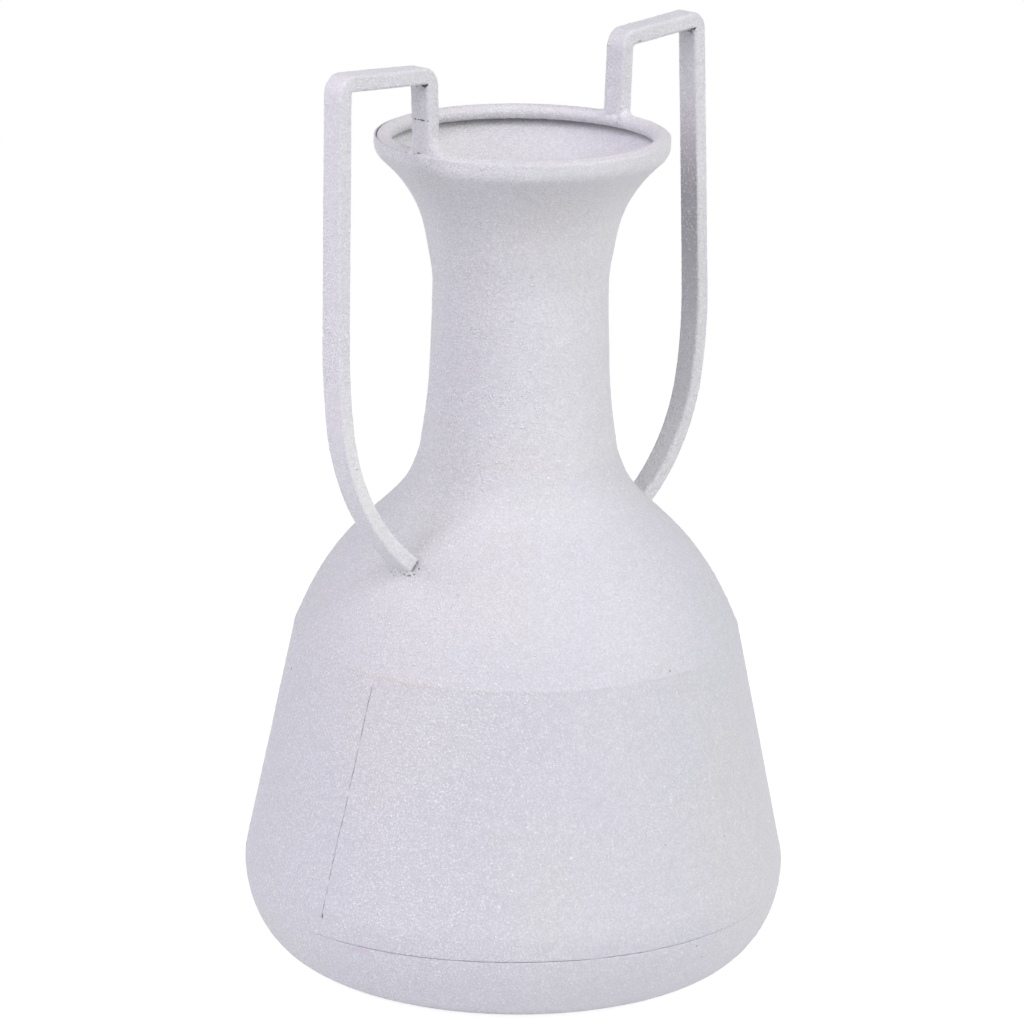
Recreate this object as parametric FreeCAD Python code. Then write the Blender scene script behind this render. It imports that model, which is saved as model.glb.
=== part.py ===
"""Urn vase of painted sheet steel: spun and rolled body pieces, a rod rim and two flat bar handles.

The vase's axis is Z and it stands on Z = 0. The handles lie in the XZ plane, the left one on -X.
Sizes are in millimetres and angles in degrees. Each piece of metal is one solid in one file.
"""
import FreeCAD, Part
import math
import os

Vector = FreeCAD.Vector
ORIGIN = Vector(0, 0, 0)
UPWARDS = Vector(0, 0, 1)
TOWARDS_BACK = Vector(0, 1, 0)
HALF_TURN = 180.0
FULL_TURN = 360.0
OUTWARDS, DOWN = 90.0, 180.0     # headings of the handle's bar in its plane, from upwards
PARALLEL_SHARE = 0.5             # two unit directions whose cross product is shorter run alike

# Sheet body
SHEET = 0.8
LAP_LENGTH = 5.0                 # spigot of each body piece inside the piece above it
LAP_CLEARANCE = 0.1
JOGGLE_LENGTH = 3.0              # wall below a seam over which the spigot steps inwards
FLOOR_RADIUS = 102.6             # flat of the base dish
WIDEST_RADIUS = 135.0
WIDEST_HEIGHT = 45.6
WIDEST_BEND_RADIUS = 25.0        # between the dish's curve and the straight skirt
LOW_SEAM_DROP = 8.6              # seam of dish and skirt, below the widest height
LOW_SEAM_CRACK = 0.3             # open hairline in that seam
SHOULDER_RADIUS = 110.6
SHOULDER_HEIGHT = 166.4
DOME_RISE = 90.2
NECK_FOOT_RADIUS = 49.0
NECK_RISE = 90.4
WAIST_RADIUS = 43.1
FLARE_RISE = 57.8
LIP_RADIUS = 72.1
LIP_BEND_RADIUS = 8.0
LIP_BEND_TURN = 46.0             # from the flare's edge to the upright lip
LIP_UPRIGHT = 4.0

# Butt seam of the rolled skirt: a hairline slot, closed at both ends
BUTT_SEAM_WIDTH = 0.3
BUTT_SEAM_LOW_GAP = 1.0          # above the widest height
BUTT_SEAM_HIGH_GAP = 4.4         # below the shoulder seam
BUTT_SEAM_LOW_ANGLE = 180.0      # about Z, from +X
BUTT_SEAM_HIGH_ANGLE = 185.0
PINHOLE_RADIUS = 0.7

# Weld bead in the shoulder seam, ground down to a low ridge
SHOULDER_BEAD_REACH = 1.6        # to each side of the seam
SHOULDER_BEAD_RISE = 0.35
SHOULDER_BEAD_CROWN = 1.4        # width of the flat that grinding leaves
SHOULDER_BEAD_ROOT = 0.55        # depth of its V in the sheet

# Rod ring in the lip, and the bead that closes the groove between them
RING_ROD_RADIUS = 3.75
RING_STANDS_OUT = 1.5            # above the lip
RING_CLEARANCE = 0.15
RIM_BEAD_ANGLE = 58.0            # on the rod's section, where the bead runs out
RIM_BEAD_DEPTH = 1.3             # into the groove, below the lip's edge
RIM_BEAD_RISE = 0.25
RIM_CRACK_START_ANGLE = 98.0     # about Z, from +X: the groove is open from here
RIM_CRACK_END_ANGLE = 174.0      # to here

# Flat bar of the handles and their stubs
BAR_THICKNESS = 8.0
BAR_WIDTH = 12.0
BAR_EDGE_RADIUS = 1.5
BAR_BEND_RADIUS = 1.2            # inside of the two square bends
BUTT_CLEARANCE = 0.1             # between stub and bar
STUB_SADDLE_DEPTH = 1.6          # how far the stub straddles the ring
FOOT_HEADING = DOWN + 75.0       # where the bar's curve would end, inside the dome

# Each handle is bent by hand and has its own sizes. A reach is measured from the vase's axis.
LEFT_STUB_SHIFT = -0.5           # from the ring's centre line
LEFT_STUB_LEAN = 2.4             # top outwards
LEFT_STUB_RISE = 16.5            # butt joint above the rim
LEFT_INNER_CORNER_RISE = 37.4    # above the rim
LEFT_OUTER_CORNER_RISE = 41.0
LEFT_SPAN = 57.3                 # between the centre lines of the two legs, at the top
LEFT_LEG_LEAN = 0.28             # foot outwards
LEFT_BOW_RISE = 77.4             # start of the long bend, above the neck's foot
LEFT_BOW_RADIUS = 379.0
LEFT_BOW_TURN = 6.6
LEFT_CURVE_RADIUS = 110.6
RIGHT_STUB_SHIFT = 0.4
RIGHT_STUB_LEAN = 2.4
RIGHT_STUB_RISE = 12.3
RIGHT_INNER_CORNER_RISE = 37.4
RIGHT_OUTER_CORNER_RISE = 40.6
RIGHT_SPAN = 52.6
RIGHT_LEG_LEAN = 2.8
RIGHT_BOW_RISE = 62.8
RIGHT_BOW_RADIUS = 206.6
RIGHT_BOW_TURN = 13.4
RIGHT_CURVE_RADIUS = 91.9

# Weld fillets at the stubs and the feet
RIM_WELD_HEIGHT = 4.2
RIM_WELD_LENGTH = 5.6
RIM_WELD_WIDTH = 6.6
RIM_WELD_DEPTH = 1.2             # down each side of the rod
RIM_WELD_HOLLOW_SHARE = 0.16     # depth of the fillet's hollow face, of its chord
FOOT_WELD_RADIUS = 2.4
FOOT_WELD_LENGTH = 9.0

# Radii at shares of a piece's height: 0 is its lower end's radius and 1 its upper end's
DOME_SHARES = ((1 / 6, 0.109), (2 / 6, 0.248), (3 / 6, 0.437), (4 / 6, 0.685), (5 / 6, 0.8985))
NECK_SHARES = ((1 / 5, 0.458), (2 / 5, 0.759), (3 / 5, 0.881), (4 / 5, 0.964))
FLARE_SHARES = ((0.2, 0.087), (0.4, 0.17), (0.6, 0.325), (0.75, 0.515), (0.88, 0.738))
DISH_POINTS = 7                  # along the dish's quarter ellipse
WALL_POINTS = 13                 # along the inside of a curved wall

# Heights and radii that follow
LOW_SEAM_HEIGHT = WIDEST_HEIGHT - LOW_SEAM_DROP
NECK_FOOT_HEIGHT = SHOULDER_HEIGHT + DOME_RISE
WAIST_HEIGHT = NECK_FOOT_HEIGHT + NECK_RISE
FLARE_EDGE_HEIGHT = WAIST_HEIGHT + FLARE_RISE
FLARE_EDGE_RADIUS = LIP_RADIUS - LIP_BEND_RADIUS * (1 - math.cos(math.radians(LIP_BEND_TURN)))
LIP_BEND_TOP_HEIGHT = FLARE_EDGE_HEIGHT + LIP_BEND_RADIUS * math.sin(math.radians(LIP_BEND_TURN))
LIP_TOP_HEIGHT = LIP_BEND_TOP_HEIGHT + LIP_UPRIGHT
RIM_TOP_HEIGHT = LIP_TOP_HEIGHT + RING_STANDS_OUT
RING_HEIGHT = RIM_TOP_HEIGHT - RING_ROD_RADIUS
RING_RADIUS = LIP_RADIUS - SHEET - RING_CLEARANCE - RING_ROD_RADIUS


def at(reach, height):
    """Point of a section in the XZ plane."""
    return Vector(reach, 0, height)


def segment(start, end):
    return Part.LineSegment(start, end)


def arc_about(centre, radius, first_angle, last_angle):
    """Arc in the XZ plane, between two angles measured from +X towards +Z."""
    angles = (first_angle, (first_angle + last_angle) / 2, last_angle)
    points = [centre + at(math.cos(math.radians(a)), math.sin(math.radians(a))) * radius for a in angles]
    return Part.Arc(*points)


def smooth_curve(points, first_tangent=None, last_tangent=None):
    curve = Part.BSplineCurve()
    if first_tangent is None:
        curve.interpolate(points)
    else:
        curve.interpolate(Points=points, InitialTangent=first_tangent, FinalTangent=last_tangent)
    return curve


def outline_by_shares(low, high, shares):
    """Points from low to high, with the radius moved by a share at each share of the height."""
    span = high - low
    return [low] + [low + at(span.x * part, span.z * rise) for rise, part in shares] + [high]


def inside(curve, parameter, depth):
    """Point at a depth under the outer side of a curve that runs upwards."""
    point = curve.value(parameter)
    tangent = curve.tangent(parameter)[0]
    return Vector(point.x - tangent.z * depth, 0, point.z + tangent.x * depth)


def inside_curve(curve, depth, first, last):
    """The curve's stretch between two parameters, moved inwards by a depth."""
    if isinstance(curve, Part.LineSegment):
        return segment(inside(curve, first, depth), inside(curve, last, depth))
    steps = [first + (last - first) * i / (WALL_POINTS - 1) for i in range(WALL_POINTS)]
    return smooth_curve([inside(curve, step, depth) for step in steps])


def parameter_along(curve, distance):
    return curve.parameterAtDistance(distance, curve.FirstParameter)


def closed_outline(points):
    """Straight edges from point to point and back to the first."""
    return [segment(start, end) for start, end in zip(points, points[1:] + points[:1])]


def turned(edges):
    """Solid of revolution from the closed outline that the edges make."""
    face = Part.Face(Part.Wire(Part.__sortEdges__([edge.toShape() for edge in edges])))
    return face.revolve(ORIGIN, UPWARDS, FULL_TURN)


def wall(outer, above=None, closed_floor=False):
    """Turned sheet under the outer curves, which run upwards.

    Where a piece stands above it, its top steps inwards to a spigot that lies inside that piece's curve.
    """
    last = outer[-1]
    edges = list(outer)
    inner_end = last.LastParameter
    if above is None:
        edges.append(segment(last.value(inner_end), inside(last, inner_end, SHEET)))
    else:
        inner_end = parameter_along(last, last.length() - JOGGLE_LENGTH)
        base, top = above.FirstParameter, parameter_along(above, LAP_LENGTH)
        near, far = SHEET + LAP_CLEARANCE, SHEET + LAP_CLEARANCE + SHEET
        edges += [
            segment(last.value(last.LastParameter), inside(above, base, near)),
            inside_curve(above, near, base, top),
            segment(inside(above, top, near), inside(above, top, far)),
            inside_curve(above, far, base, top),
            segment(inside(above, base, far), inside(last, inner_end, SHEET)),
        ]
    edges.append(inside_curve(last, SHEET, last.FirstParameter, inner_end))
    edges += [inside_curve(curve, SHEET, curve.FirstParameter, curve.LastParameter) for curve in outer[:-1]]
    first = outer[0]
    low_outer, low_inner = first.value(first.FirstParameter), inside(first, first.FirstParameter, SHEET)
    if closed_floor:
        edges += [
            segment(ORIGIN, low_outer),
            segment(ORIGIN, at(0, SHEET)),
            segment(at(0, SHEET), low_inner),
        ]
    else:
        edges.append(segment(low_outer, low_inner))
    return turned(edges)


def dish_point(height):
    """Point of the dish's quarter ellipse, which leaves the floor flat and ends upright."""
    drop = (WIDEST_HEIGHT - height) / WIDEST_HEIGHT
    return at(FLOOR_RADIUS + (WIDEST_RADIUS - FLOOR_RADIUS) * math.sqrt(1 - drop * drop), height)


def dish_tangent(height):
    """Direction of that ellipse, upwards."""
    drop = (WIDEST_HEIGHT - height) / WIDEST_HEIGHT
    return at((WIDEST_RADIUS - FLOOR_RADIUS) * drop, WIDEST_HEIGHT * math.sqrt(1 - drop * drop)).normalize()


def dish_curve(low, high):
    """The ellipse between two heights, with its points spread evenly in angle."""
    low_angle, high_angle = (math.acos((WIDEST_HEIGHT - height) / WIDEST_HEIGHT) for height in (low, high))
    angles = [low_angle + (high_angle - low_angle) * i / (DISH_POINTS - 1) for i in range(DISH_POINTS)]
    points = [dish_point(WIDEST_HEIGHT * (1 - math.cos(angle))) for angle in angles]
    return smooth_curve(points, dish_tangent(low), dish_tangent(high))


def skirt_curves():
    """Top of the dish's ellipse, a short bend, and the straight side up to the shoulder."""
    bend_centre = at(WIDEST_RADIUS - WIDEST_BEND_RADIUS, WIDEST_HEIGHT)
    shoulder = at(SHOULDER_RADIUS, SHOULDER_HEIGHT)
    to_shoulder = shoulder - bend_centre
    direction = math.degrees(math.atan2(to_shoulder.z, to_shoulder.x))
    bend_turn = direction - math.degrees(math.acos(WIDEST_BEND_RADIUS / to_shoulder.Length))
    bend = arc_about(bend_centre, WIDEST_BEND_RADIUS, 0, bend_turn)
    return [
        dish_curve(LOW_SEAM_HEIGHT + LOW_SEAM_CRACK, WIDEST_HEIGHT),
        bend,
        segment(bend.value(bend.LastParameter), shoulder),
    ]


def dome_curve():
    low, high = at(SHOULDER_RADIUS, SHOULDER_HEIGHT), at(NECK_FOOT_RADIUS, NECK_FOOT_HEIGHT)
    return smooth_curve(outline_by_shares(low, high, DOME_SHARES))


def neck_curve():
    low, high = at(NECK_FOOT_RADIUS, NECK_FOOT_HEIGHT), at(WAIST_RADIUS, WAIST_HEIGHT)
    return smooth_curve(outline_by_shares(low, high, NECK_SHARES))


def mouth_curves():
    """Trumpet, bend and upright lip."""
    low, high = at(WAIST_RADIUS, WAIST_HEIGHT), at(FLARE_EDGE_RADIUS, FLARE_EDGE_HEIGHT)
    points = outline_by_shares(low, high, FLARE_SHARES)
    turn = math.radians(LIP_BEND_TURN)
    trumpet = smooth_curve(points, (points[1] - low).normalize(), at(math.sin(turn), math.cos(turn)))
    bend_centre = at(LIP_RADIUS - LIP_BEND_RADIUS, LIP_BEND_TOP_HEIGHT)
    bend = arc_about(bend_centre, LIP_BEND_RADIUS, -LIP_BEND_TURN, 0)
    lip = segment(at(LIP_RADIUS, LIP_BEND_TOP_HEIGHT), at(LIP_RADIUS, LIP_TOP_HEIGHT))
    return [trumpet, bend, lip]


def about_axis(radius, angle, height):
    """Point at an angle about the vase's axis, measured from +X."""
    turn = math.radians(angle)
    return Vector(radius * math.cos(turn), radius * math.sin(turn), height)


def skirt_radius(height):
    """Radius of the straight side at a height."""
    side = skirt_curves()[-1]
    low, high = side.value(side.FirstParameter), side.value(side.LastParameter)
    return low.x + (high.x - low.x) * (height - low.z) / (high.z - low.z)


def butt_seam_cut():
    """Slot of the skirt's butt seam with the pinhole at its lower end."""
    low_height = WIDEST_HEIGHT + BUTT_SEAM_LOW_GAP
    high_height = SHOULDER_HEIGHT - BUTT_SEAM_HIGH_GAP
    low = about_axis(skirt_radius(low_height), BUTT_SEAM_LOW_ANGLE, low_height)
    high = about_axis(skirt_radius(high_height), BUTT_SEAM_HIGH_ANGLE, high_height)
    outwards = about_axis(1, (BUTT_SEAM_LOW_ANGLE + BUTT_SEAM_HIGH_ANGLE) / 2, 0)
    depth = outwards * (2 * SHEET)
    along = (high - low).normalize()
    sideways = along.cross(outwards).normalize() * BUTT_SEAM_WIDTH
    corners = [low - depth, high - depth, high + depth, low + depth, low - depth]
    slot = Part.Face(Part.makePolygon(corners)).extrude(sideways)
    slot.translate(sideways * -0.5)
    return slot.fuse(Part.makeCylinder(PINHOLE_RADIUS, depth.Length * 2, low - depth, outwards))


def shoulder_bead():
    """Low ridge over the shoulder seam, with its root in a V between the skirt and the dome."""
    side, dome = skirt_curves()[-1], dome_curve()
    return turned(closed_outline([
        inside(side, side.LastParameter, SHOULDER_BEAD_ROOT),
        side.value(parameter_along(side, side.length() - SHOULDER_BEAD_REACH)),
        inside(side, parameter_along(side, side.length() - SHOULDER_BEAD_CROWN / 2), -SHOULDER_BEAD_RISE),
        inside(dome, parameter_along(dome, SHOULDER_BEAD_CROWN / 2), -SHOULDER_BEAD_RISE),
        dome.value(parameter_along(dome, SHOULDER_BEAD_REACH)),
    ]))


def ring():
    return Part.makeTorus(RING_RADIUS, RING_ROD_RADIUS, Vector(0, 0, RING_HEIGHT), UPWARDS)


def rim_bead():
    """Filling of the groove between the ring and the lip, over all but its open stretch."""
    centre = at(RING_RADIUS, RING_HEIGHT)
    around_rod = RING_ROD_RADIUS + RING_CLEARANCE
    low_height = LIP_TOP_HEIGHT - RIM_BEAD_DEPTH
    low_angle = math.degrees(math.asin((low_height - RING_HEIGHT) / around_rod))
    along_rod = arc_about(centre, around_rod, low_angle, RIM_BEAD_ANGLE)
    low, high = along_rod.StartPoint, along_rod.EndPoint
    groove = at(LIP_RADIUS - SHEET, low_height)
    lip_inner, lip_outer = at(LIP_RADIUS - SHEET, LIP_TOP_HEIGHT), at(LIP_RADIUS, LIP_TOP_HEIGHT)
    crown = (high + lip_outer) / 2 + (high - centre).normalize() * RIM_BEAD_RISE
    edges = [
        along_rod,
        segment(low, groove),
        segment(groove, lip_inner),
        segment(lip_inner, lip_outer),
        Part.Arc(lip_outer, crown, high),
    ]
    face = Part.Face(Part.Wire(Part.__sortEdges__([edge.toShape() for edge in edges])))
    open_stretch = RIM_CRACK_END_ANGLE - RIM_CRACK_START_ANGLE
    bead = face.revolve(ORIGIN, UPWARDS, FULL_TURN - open_stretch)
    bead.rotate(ORIGIN, UPWARDS, RIM_CRACK_END_ANGLE)
    return bead


def heading_vector(heading):
    """Direction in the handle's plane: 0 is up, 90 outwards and 180 down."""
    turn = math.radians(heading)
    return at(math.sin(turn), math.cos(turn))


class BarPath:
    """Centre line of a bar in the XZ plane, laid as straight runs and tangent bends."""

    def __init__(self, start, heading):
        self.start = self.point = start
        self.start_heading = self.heading = heading
        self.edges = []

    def run(self, length):
        end = self.point + heading_vector(self.heading) * length
        self.edges.append(segment(self.point, end).toShape())
        self.point = end

    def bend(self, radius, turn):
        """Bend towards larger headings."""
        towards_centre = self.heading + OUTWARDS
        centre = self.point + heading_vector(towards_centre) * radius
        points = [centre - heading_vector(towards_centre + turn * share) * radius for share in (0.5, 1)]
        self.edges.append(Part.Arc(self.point, *points).toShape())
        self.point = points[-1]
        self.heading += turn

    def solid(self):
        """Bar with rounded edges swept along the path."""
        forward = heading_vector(self.start_heading)
        across = heading_vector(self.start_heading + OUTWARDS)
        corner = self.start - across * (BAR_THICKNESS / 2) - TOWARDS_BACK * (BAR_WIDTH / 2)
        steps = (across * BAR_THICKNESS, TOWARDS_BACK * BAR_WIDTH)
        corners = [corner, corner + steps[0], corner + steps[0] + steps[1], corner + steps[1], corner]
        blank = Part.Face(Part.makePolygon(corners)).extrude(forward * BAR_THICKNESS)
        long_edges = [edge for edge in blank.Edges
                      if edge.tangentAt(edge.FirstParameter).cross(forward).Length < PARALLEL_SHARE]
        rounded = blank.makeFillet(BAR_EDGE_RADIUS, long_edges)
        section = min(rounded.Faces, key=lambda face: face.CenterOfMass.distanceToPoint(self.start))
        return Part.Wire(self.edges).makePipeShell([section.OuterWire], True, False)


class Handle:
    """One handle with its stub and welds, built on +X and turned to its side at the end."""

    def __init__(self, stub_shift, stub_lean, stub_rise, inner_corner_rise, outer_corner_rise, span,
                 leg_lean, bow_rise, bow_radius, bow_turn, curve_radius, side_turn):
        self.lean = stub_lean
        self.foot = at(RING_RADIUS + stub_shift, RIM_TOP_HEIGHT)
        self.butt = self.foot + heading_vector(stub_lean) * stub_rise
        self.inner_corner = self.foot + heading_vector(stub_lean) * inner_corner_rise
        self.outer_corner = at(self.inner_corner.x + span, RIM_TOP_HEIGHT + outer_corner_rise)
        self.leg_heading = DOWN - leg_lean
        self.bow_height = NECK_FOOT_HEIGHT + bow_rise
        self.bow_radius, self.bow_turn = bow_radius, bow_turn
        self.curve_radius = curve_radius
        self.side_turn = side_turn

    def to_side(self, shape):
        shape.rotate(ORIGIN, UPWARDS, self.side_turn)
        return shape

    def path(self):
        """From the butt joint up, over the two corners and down the long leg into the dome."""
        along_top = self.outer_corner - self.inner_corner
        top_heading = math.degrees(math.atan2(along_top.x, along_top.z))
        bend_radius = BAR_BEND_RADIUS + BAR_THICKNESS / 2
        first_turn, second_turn = top_heading - self.lean, self.leg_heading - top_heading
        first_trim, second_trim = (bend_radius * math.tan(math.radians(turn / 2))
                                   for turn in (first_turn, second_turn))
        line = BarPath(self.butt + heading_vector(self.lean) * BUTT_CLEARANCE, self.lean)
        line.run(self.inner_corner.distanceToPoint(line.point) - first_trim)
        line.bend(bend_radius, first_turn)
        line.run(along_top.Length - first_trim - second_trim)
        line.bend(bend_radius, second_turn)
        line.run((line.point.z - self.bow_height) / math.cos(math.radians(DOWN - self.leg_heading)))
        line.bend(self.bow_radius, self.bow_turn)
        line.bend(self.curve_radius, FOOT_HEADING - line.heading)
        return line

    def bar(self, body):
        """Bent bar whose end is cut to the dome."""
        return self.to_side(max(self.path().solid().cut(body).Solids, key=lambda solid: solid.Volume))

    def stub(self, rim):
        """Short bar that straddles the rim."""
        line = BarPath(self.foot - heading_vector(self.lean) * STUB_SADDLE_DEPTH, self.lean)
        line.run(self.butt.distanceToPoint(line.point))
        return self.to_side(line.solid()).cut(rim)

    def rim_weld(self, rim, stub, facing):
        """Hollow fillet between the stub and the ring, in front of the stub (-1) or behind it (1)."""
        face_y = BAR_WIDTH / 2
        top = Vector(0, face_y, RIM_WELD_HEIGHT)
        end = Vector(0, face_y + RIM_WELD_LENGTH, 0)
        chord = end - top
        hollow = (top + end) / 2 + Vector(0, chord.z, -chord.y) * RIM_WELD_HOLLOW_SHARE
        down = Vector(0, 0, -RIM_WELD_DEPTH)
        corner = Vector(0, face_y, 0)
        edges = [
            Part.Arc(top, hollow, end),
            segment(end, end + down),
            segment(end + down, corner + down),
            segment(corner + down, top),
        ]
        face = Part.Face(Part.Wire([edge.toShape() for edge in edges]))
        weld = face.extrude(Vector(RIM_WELD_WIDTH, 0, 0))
        weld.translate(Vector(self.foot.x - RIM_WELD_WIDTH / 2, 0, RIM_TOP_HEIGHT))
        if facing * math.cos(math.radians(self.side_turn)) < 0:
            weld = weld.mirror(ORIGIN, TOWARDS_BACK)
        weld = self.to_side(weld).cut(rim).cut(stub)
        return max(weld.Solids, key=lambda solid: solid.Volume)

    def foot_weld(self, body, bar):
        """Round-ended bead across the bar, under its foot, where its outer face meets the dome."""
        curve = self.path().edges[-1].Curve
        outer_arc = Part.Circle(curve.Center, TOWARDS_BACK, curve.Radius + BAR_THICKNESS / 2).toShape()
        meets = outer_arc.distToShape(dome_curve().toShape())[1]
        place = max((pair[0] for pair in meets), key=lambda point: point.x)
        half = TOWARDS_BACK * (FOOT_WELD_LENGTH / 2)
        bead = Part.makeCylinder(FOOT_WELD_RADIUS, FOOT_WELD_LENGTH, place - half, TOWARDS_BACK)
        for end in (place - half, place + half):
            bead = bead.fuse(Part.makeSphere(FOOT_WELD_RADIUS, end))
        bead = self.to_side(bead.removeSplitter()).cut(body).cut(bar)
        return max(bead.Solids, key=lambda solid: solid.Volume)


def left_handle():
    return Handle(LEFT_STUB_SHIFT, LEFT_STUB_LEAN, LEFT_STUB_RISE, LEFT_INNER_CORNER_RISE,
                  LEFT_OUTER_CORNER_RISE, LEFT_SPAN, LEFT_LEG_LEAN, LEFT_BOW_RISE, LEFT_BOW_RADIUS,
                  LEFT_BOW_TURN, LEFT_CURVE_RADIUS, HALF_TURN)


def right_handle():
    return Handle(RIGHT_STUB_SHIFT, RIGHT_STUB_LEAN, RIGHT_STUB_RISE, RIGHT_INNER_CORNER_RISE,
                  RIGHT_OUTER_CORNER_RISE, RIGHT_SPAN, RIGHT_LEG_LEAN, RIGHT_BOW_RISE, RIGHT_BOW_RADIUS,
                  RIGHT_BOW_TURN, RIGHT_CURVE_RADIUS, 0)


def filled_body():
    """Dome and neck without their hollow, which the handles' feet are cut to."""
    dome, neck = dome_curve(), neck_curve()
    base, top = at(0, SHOULDER_HEIGHT), at(0, WAIST_HEIGHT)
    return turned([
        segment(base, at(SHOULDER_RADIUS, SHOULDER_HEIGHT)),
        dome,
        neck,
        segment(at(WAIST_RADIUS, WAIST_HEIGHT), top),
        segment(top, base),
    ])


def body_pieces():
    skirt, dome, neck, mouth = skirt_curves(), dome_curve(), neck_curve(), mouth_curves()
    bead = shoulder_bead()
    return {
        "base_pan": wall([dish_curve(0, LOW_SEAM_HEIGHT)], above=skirt[0], closed_floor=True),
        "body_skirt": wall(skirt, above=dome).cut(butt_seam_cut()).cut(bead),
        "shoulder_seam_weld": bead,
        "shoulder_dome": wall([dome], above=neck).cut(bead),
        "neck_tube": wall([neck], above=mouth[0]),
        "mouth_flare": wall(mouth),
        "rim_ring": ring(),
        "rim_bead_weld": rim_bead(),
    }


def handle_pieces(name, handle, rim, body):
    bar, stub = handle.bar(body), handle.stub(rim)
    return {
        f"{name}_handle_bar": bar,
        f"{name}_handle_stub": stub,
        f"{name}_front_rim_weld": handle.rim_weld(rim, stub, -1),
        f"{name}_back_rim_weld": handle.rim_weld(rim, stub, 1),
        f"{name}_foot_weld": handle.foot_weld(body, bar),
    }


def main():
    pieces = body_pieces()
    rim = pieces["rim_ring"].fuse(pieces["rim_bead_weld"]).fuse(pieces["mouth_flare"])
    body = filled_body()
    for name, handle in (("left", left_handle()), ("right", right_handle())):
        pieces.update(handle_pieces(name, handle, rim, body))
    os.makedirs("parts", exist_ok=True)
    for name, shape in pieces.items():
        state = "valid" if shape.isValid() else "NOT VALID"
        print(name, len(shape.Solids), "solid", round(shape.Volume), "mm3", state)
        shape.exportStep(f"parts/{name}.step")


main()
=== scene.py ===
"""Looks of the urn vase: coated sheet body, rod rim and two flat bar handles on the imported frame.

Sizes are in millimetres in the part's own frame, with Z up, the handles in the XZ plane and the
left one on -X. Angles about the axis are in degrees from +X, anticlockwise from above.
"""

import logging
import math
from dataclasses import dataclass
from enum import Enum

import bpy
import numpy as np
from mathutils import Matrix, Vector


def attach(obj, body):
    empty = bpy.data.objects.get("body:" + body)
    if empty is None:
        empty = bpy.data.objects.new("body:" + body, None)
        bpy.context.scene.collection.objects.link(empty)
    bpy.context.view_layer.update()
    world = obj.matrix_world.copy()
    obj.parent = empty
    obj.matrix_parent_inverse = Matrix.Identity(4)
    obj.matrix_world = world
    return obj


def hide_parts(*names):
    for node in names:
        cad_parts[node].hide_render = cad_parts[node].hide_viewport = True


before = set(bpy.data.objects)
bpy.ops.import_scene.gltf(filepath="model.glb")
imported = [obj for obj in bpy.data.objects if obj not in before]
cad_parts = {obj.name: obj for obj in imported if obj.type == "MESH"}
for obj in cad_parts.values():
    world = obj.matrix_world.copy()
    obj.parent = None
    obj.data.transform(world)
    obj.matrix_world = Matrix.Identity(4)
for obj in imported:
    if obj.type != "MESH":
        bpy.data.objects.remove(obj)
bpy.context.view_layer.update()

MM = 0.001
BODY = "root"
SAME_PLACE = 1e-6
SAME_DEPTH = 0.01
CURVE_STEP = 0.2
BAR_STEP = 0.55
SHARP_ANGLE = 50.0

Array = np.ndarray
Colour = tuple[float, float, float]
Knots = tuple[tuple[float, float], ...]
Tree = bpy.types.NodeTree
Socket = bpy.types.NodeSocket
Material = bpy.types.Material
Materials = dict[str, Material]
Piece = bpy.types.Object

log = logging.getLogger("urn_vase")


class Slot(Enum):
    """Material slots of the record."""

    SHEET = "painted_sheet"
    BAR = "painted_bar"
    WELD = "painted_weld"


class Side(Enum):
    """Side of the vase that a handle stands on, as its turn about the axis."""

    LEFT = 180.0
    RIGHT = 0.0


class Facing(Enum):
    """Side of a stub that a weld lies on, as the sign of Y."""

    FRONT = -1
    BACK = 1


# Relief, lines and meshes


class Grain:
    """Smooth seeded noise in space."""

    entries = 256
    swing = 1.6

    def __init__(self, seed: int) -> None:
        """Draws the noise's order and slopes.

        Args:
            seed: fixes the noise.
        """
        drawn = np.random.default_rng(seed)
        self.order = drawn.permutation(self.entries)
        slopes = drawn.normal(size=(self.entries, 3))
        self.slopes = slopes / np.linalg.norm(slopes, axis=1, keepdims=True)

    def at(self, points: Array, size: float) -> Array:
        """Noise of about -1 to 1 at points.

        Args:
            points: places, with x, y and z last.
            size: width of a lump.

        Returns:
            One value for each place.
        """
        flat = points.reshape(-1, 3) / size
        cell = np.floor(flat).astype(int)
        part = flat - cell
        ease = part**3 * (part * (part * 6 - 15) + 10)
        total = np.zeros(len(flat))
        for step in np.ndindex(2, 2, 2):
            key = 0
            for axis in range(3):
                key = self.order[(key + cell[:, axis] + step[axis]) % self.entries]
            share = np.where(np.array(step), ease, 1 - ease).prod(axis=1)
            total += share * ((part - np.array(step)) * self.slopes[key]).sum(axis=1)
        return (total * self.swing).reshape(points.shape[:-1])

    def lumps(self, points: Array, size: float, above: float) -> Array:
        """Only the crests of the noise.

        Args:
            points: places, with x, y and z last.
            size: width of a lump.
            above: value under which nothing is left.

        Returns:
            0 to about 1 for each place.
        """
        return np.clip(self.at(points, size) - above, 0, None) / (1 - above)


COAT = Grain(11)
METAL = Grain(23)


@dataclass(frozen=True)
class CoatRelief:
    """How far the coat and the metal under it stand out from the true surface."""

    fine: float = 0.05
    fine_size: float = 1.6
    clots: float = 0.22
    clot_size: float = 2.1
    clot_start: float = 0.32
    wave: float = 0.12
    wave_size: float = 42.0

    def at(self, points: Array) -> Array:
        """Rise at points.

        Args:
            points: places, with x, y and z last.

        Returns:
            Rise of each place along its normal.
        """
        return (
            self.fine * COAT.at(points, self.fine_size)
            + self.clots * COAT.lumps(points, self.clot_size, self.clot_start)
            + self.wave * METAL.at(points, self.wave_size)
        )


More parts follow.
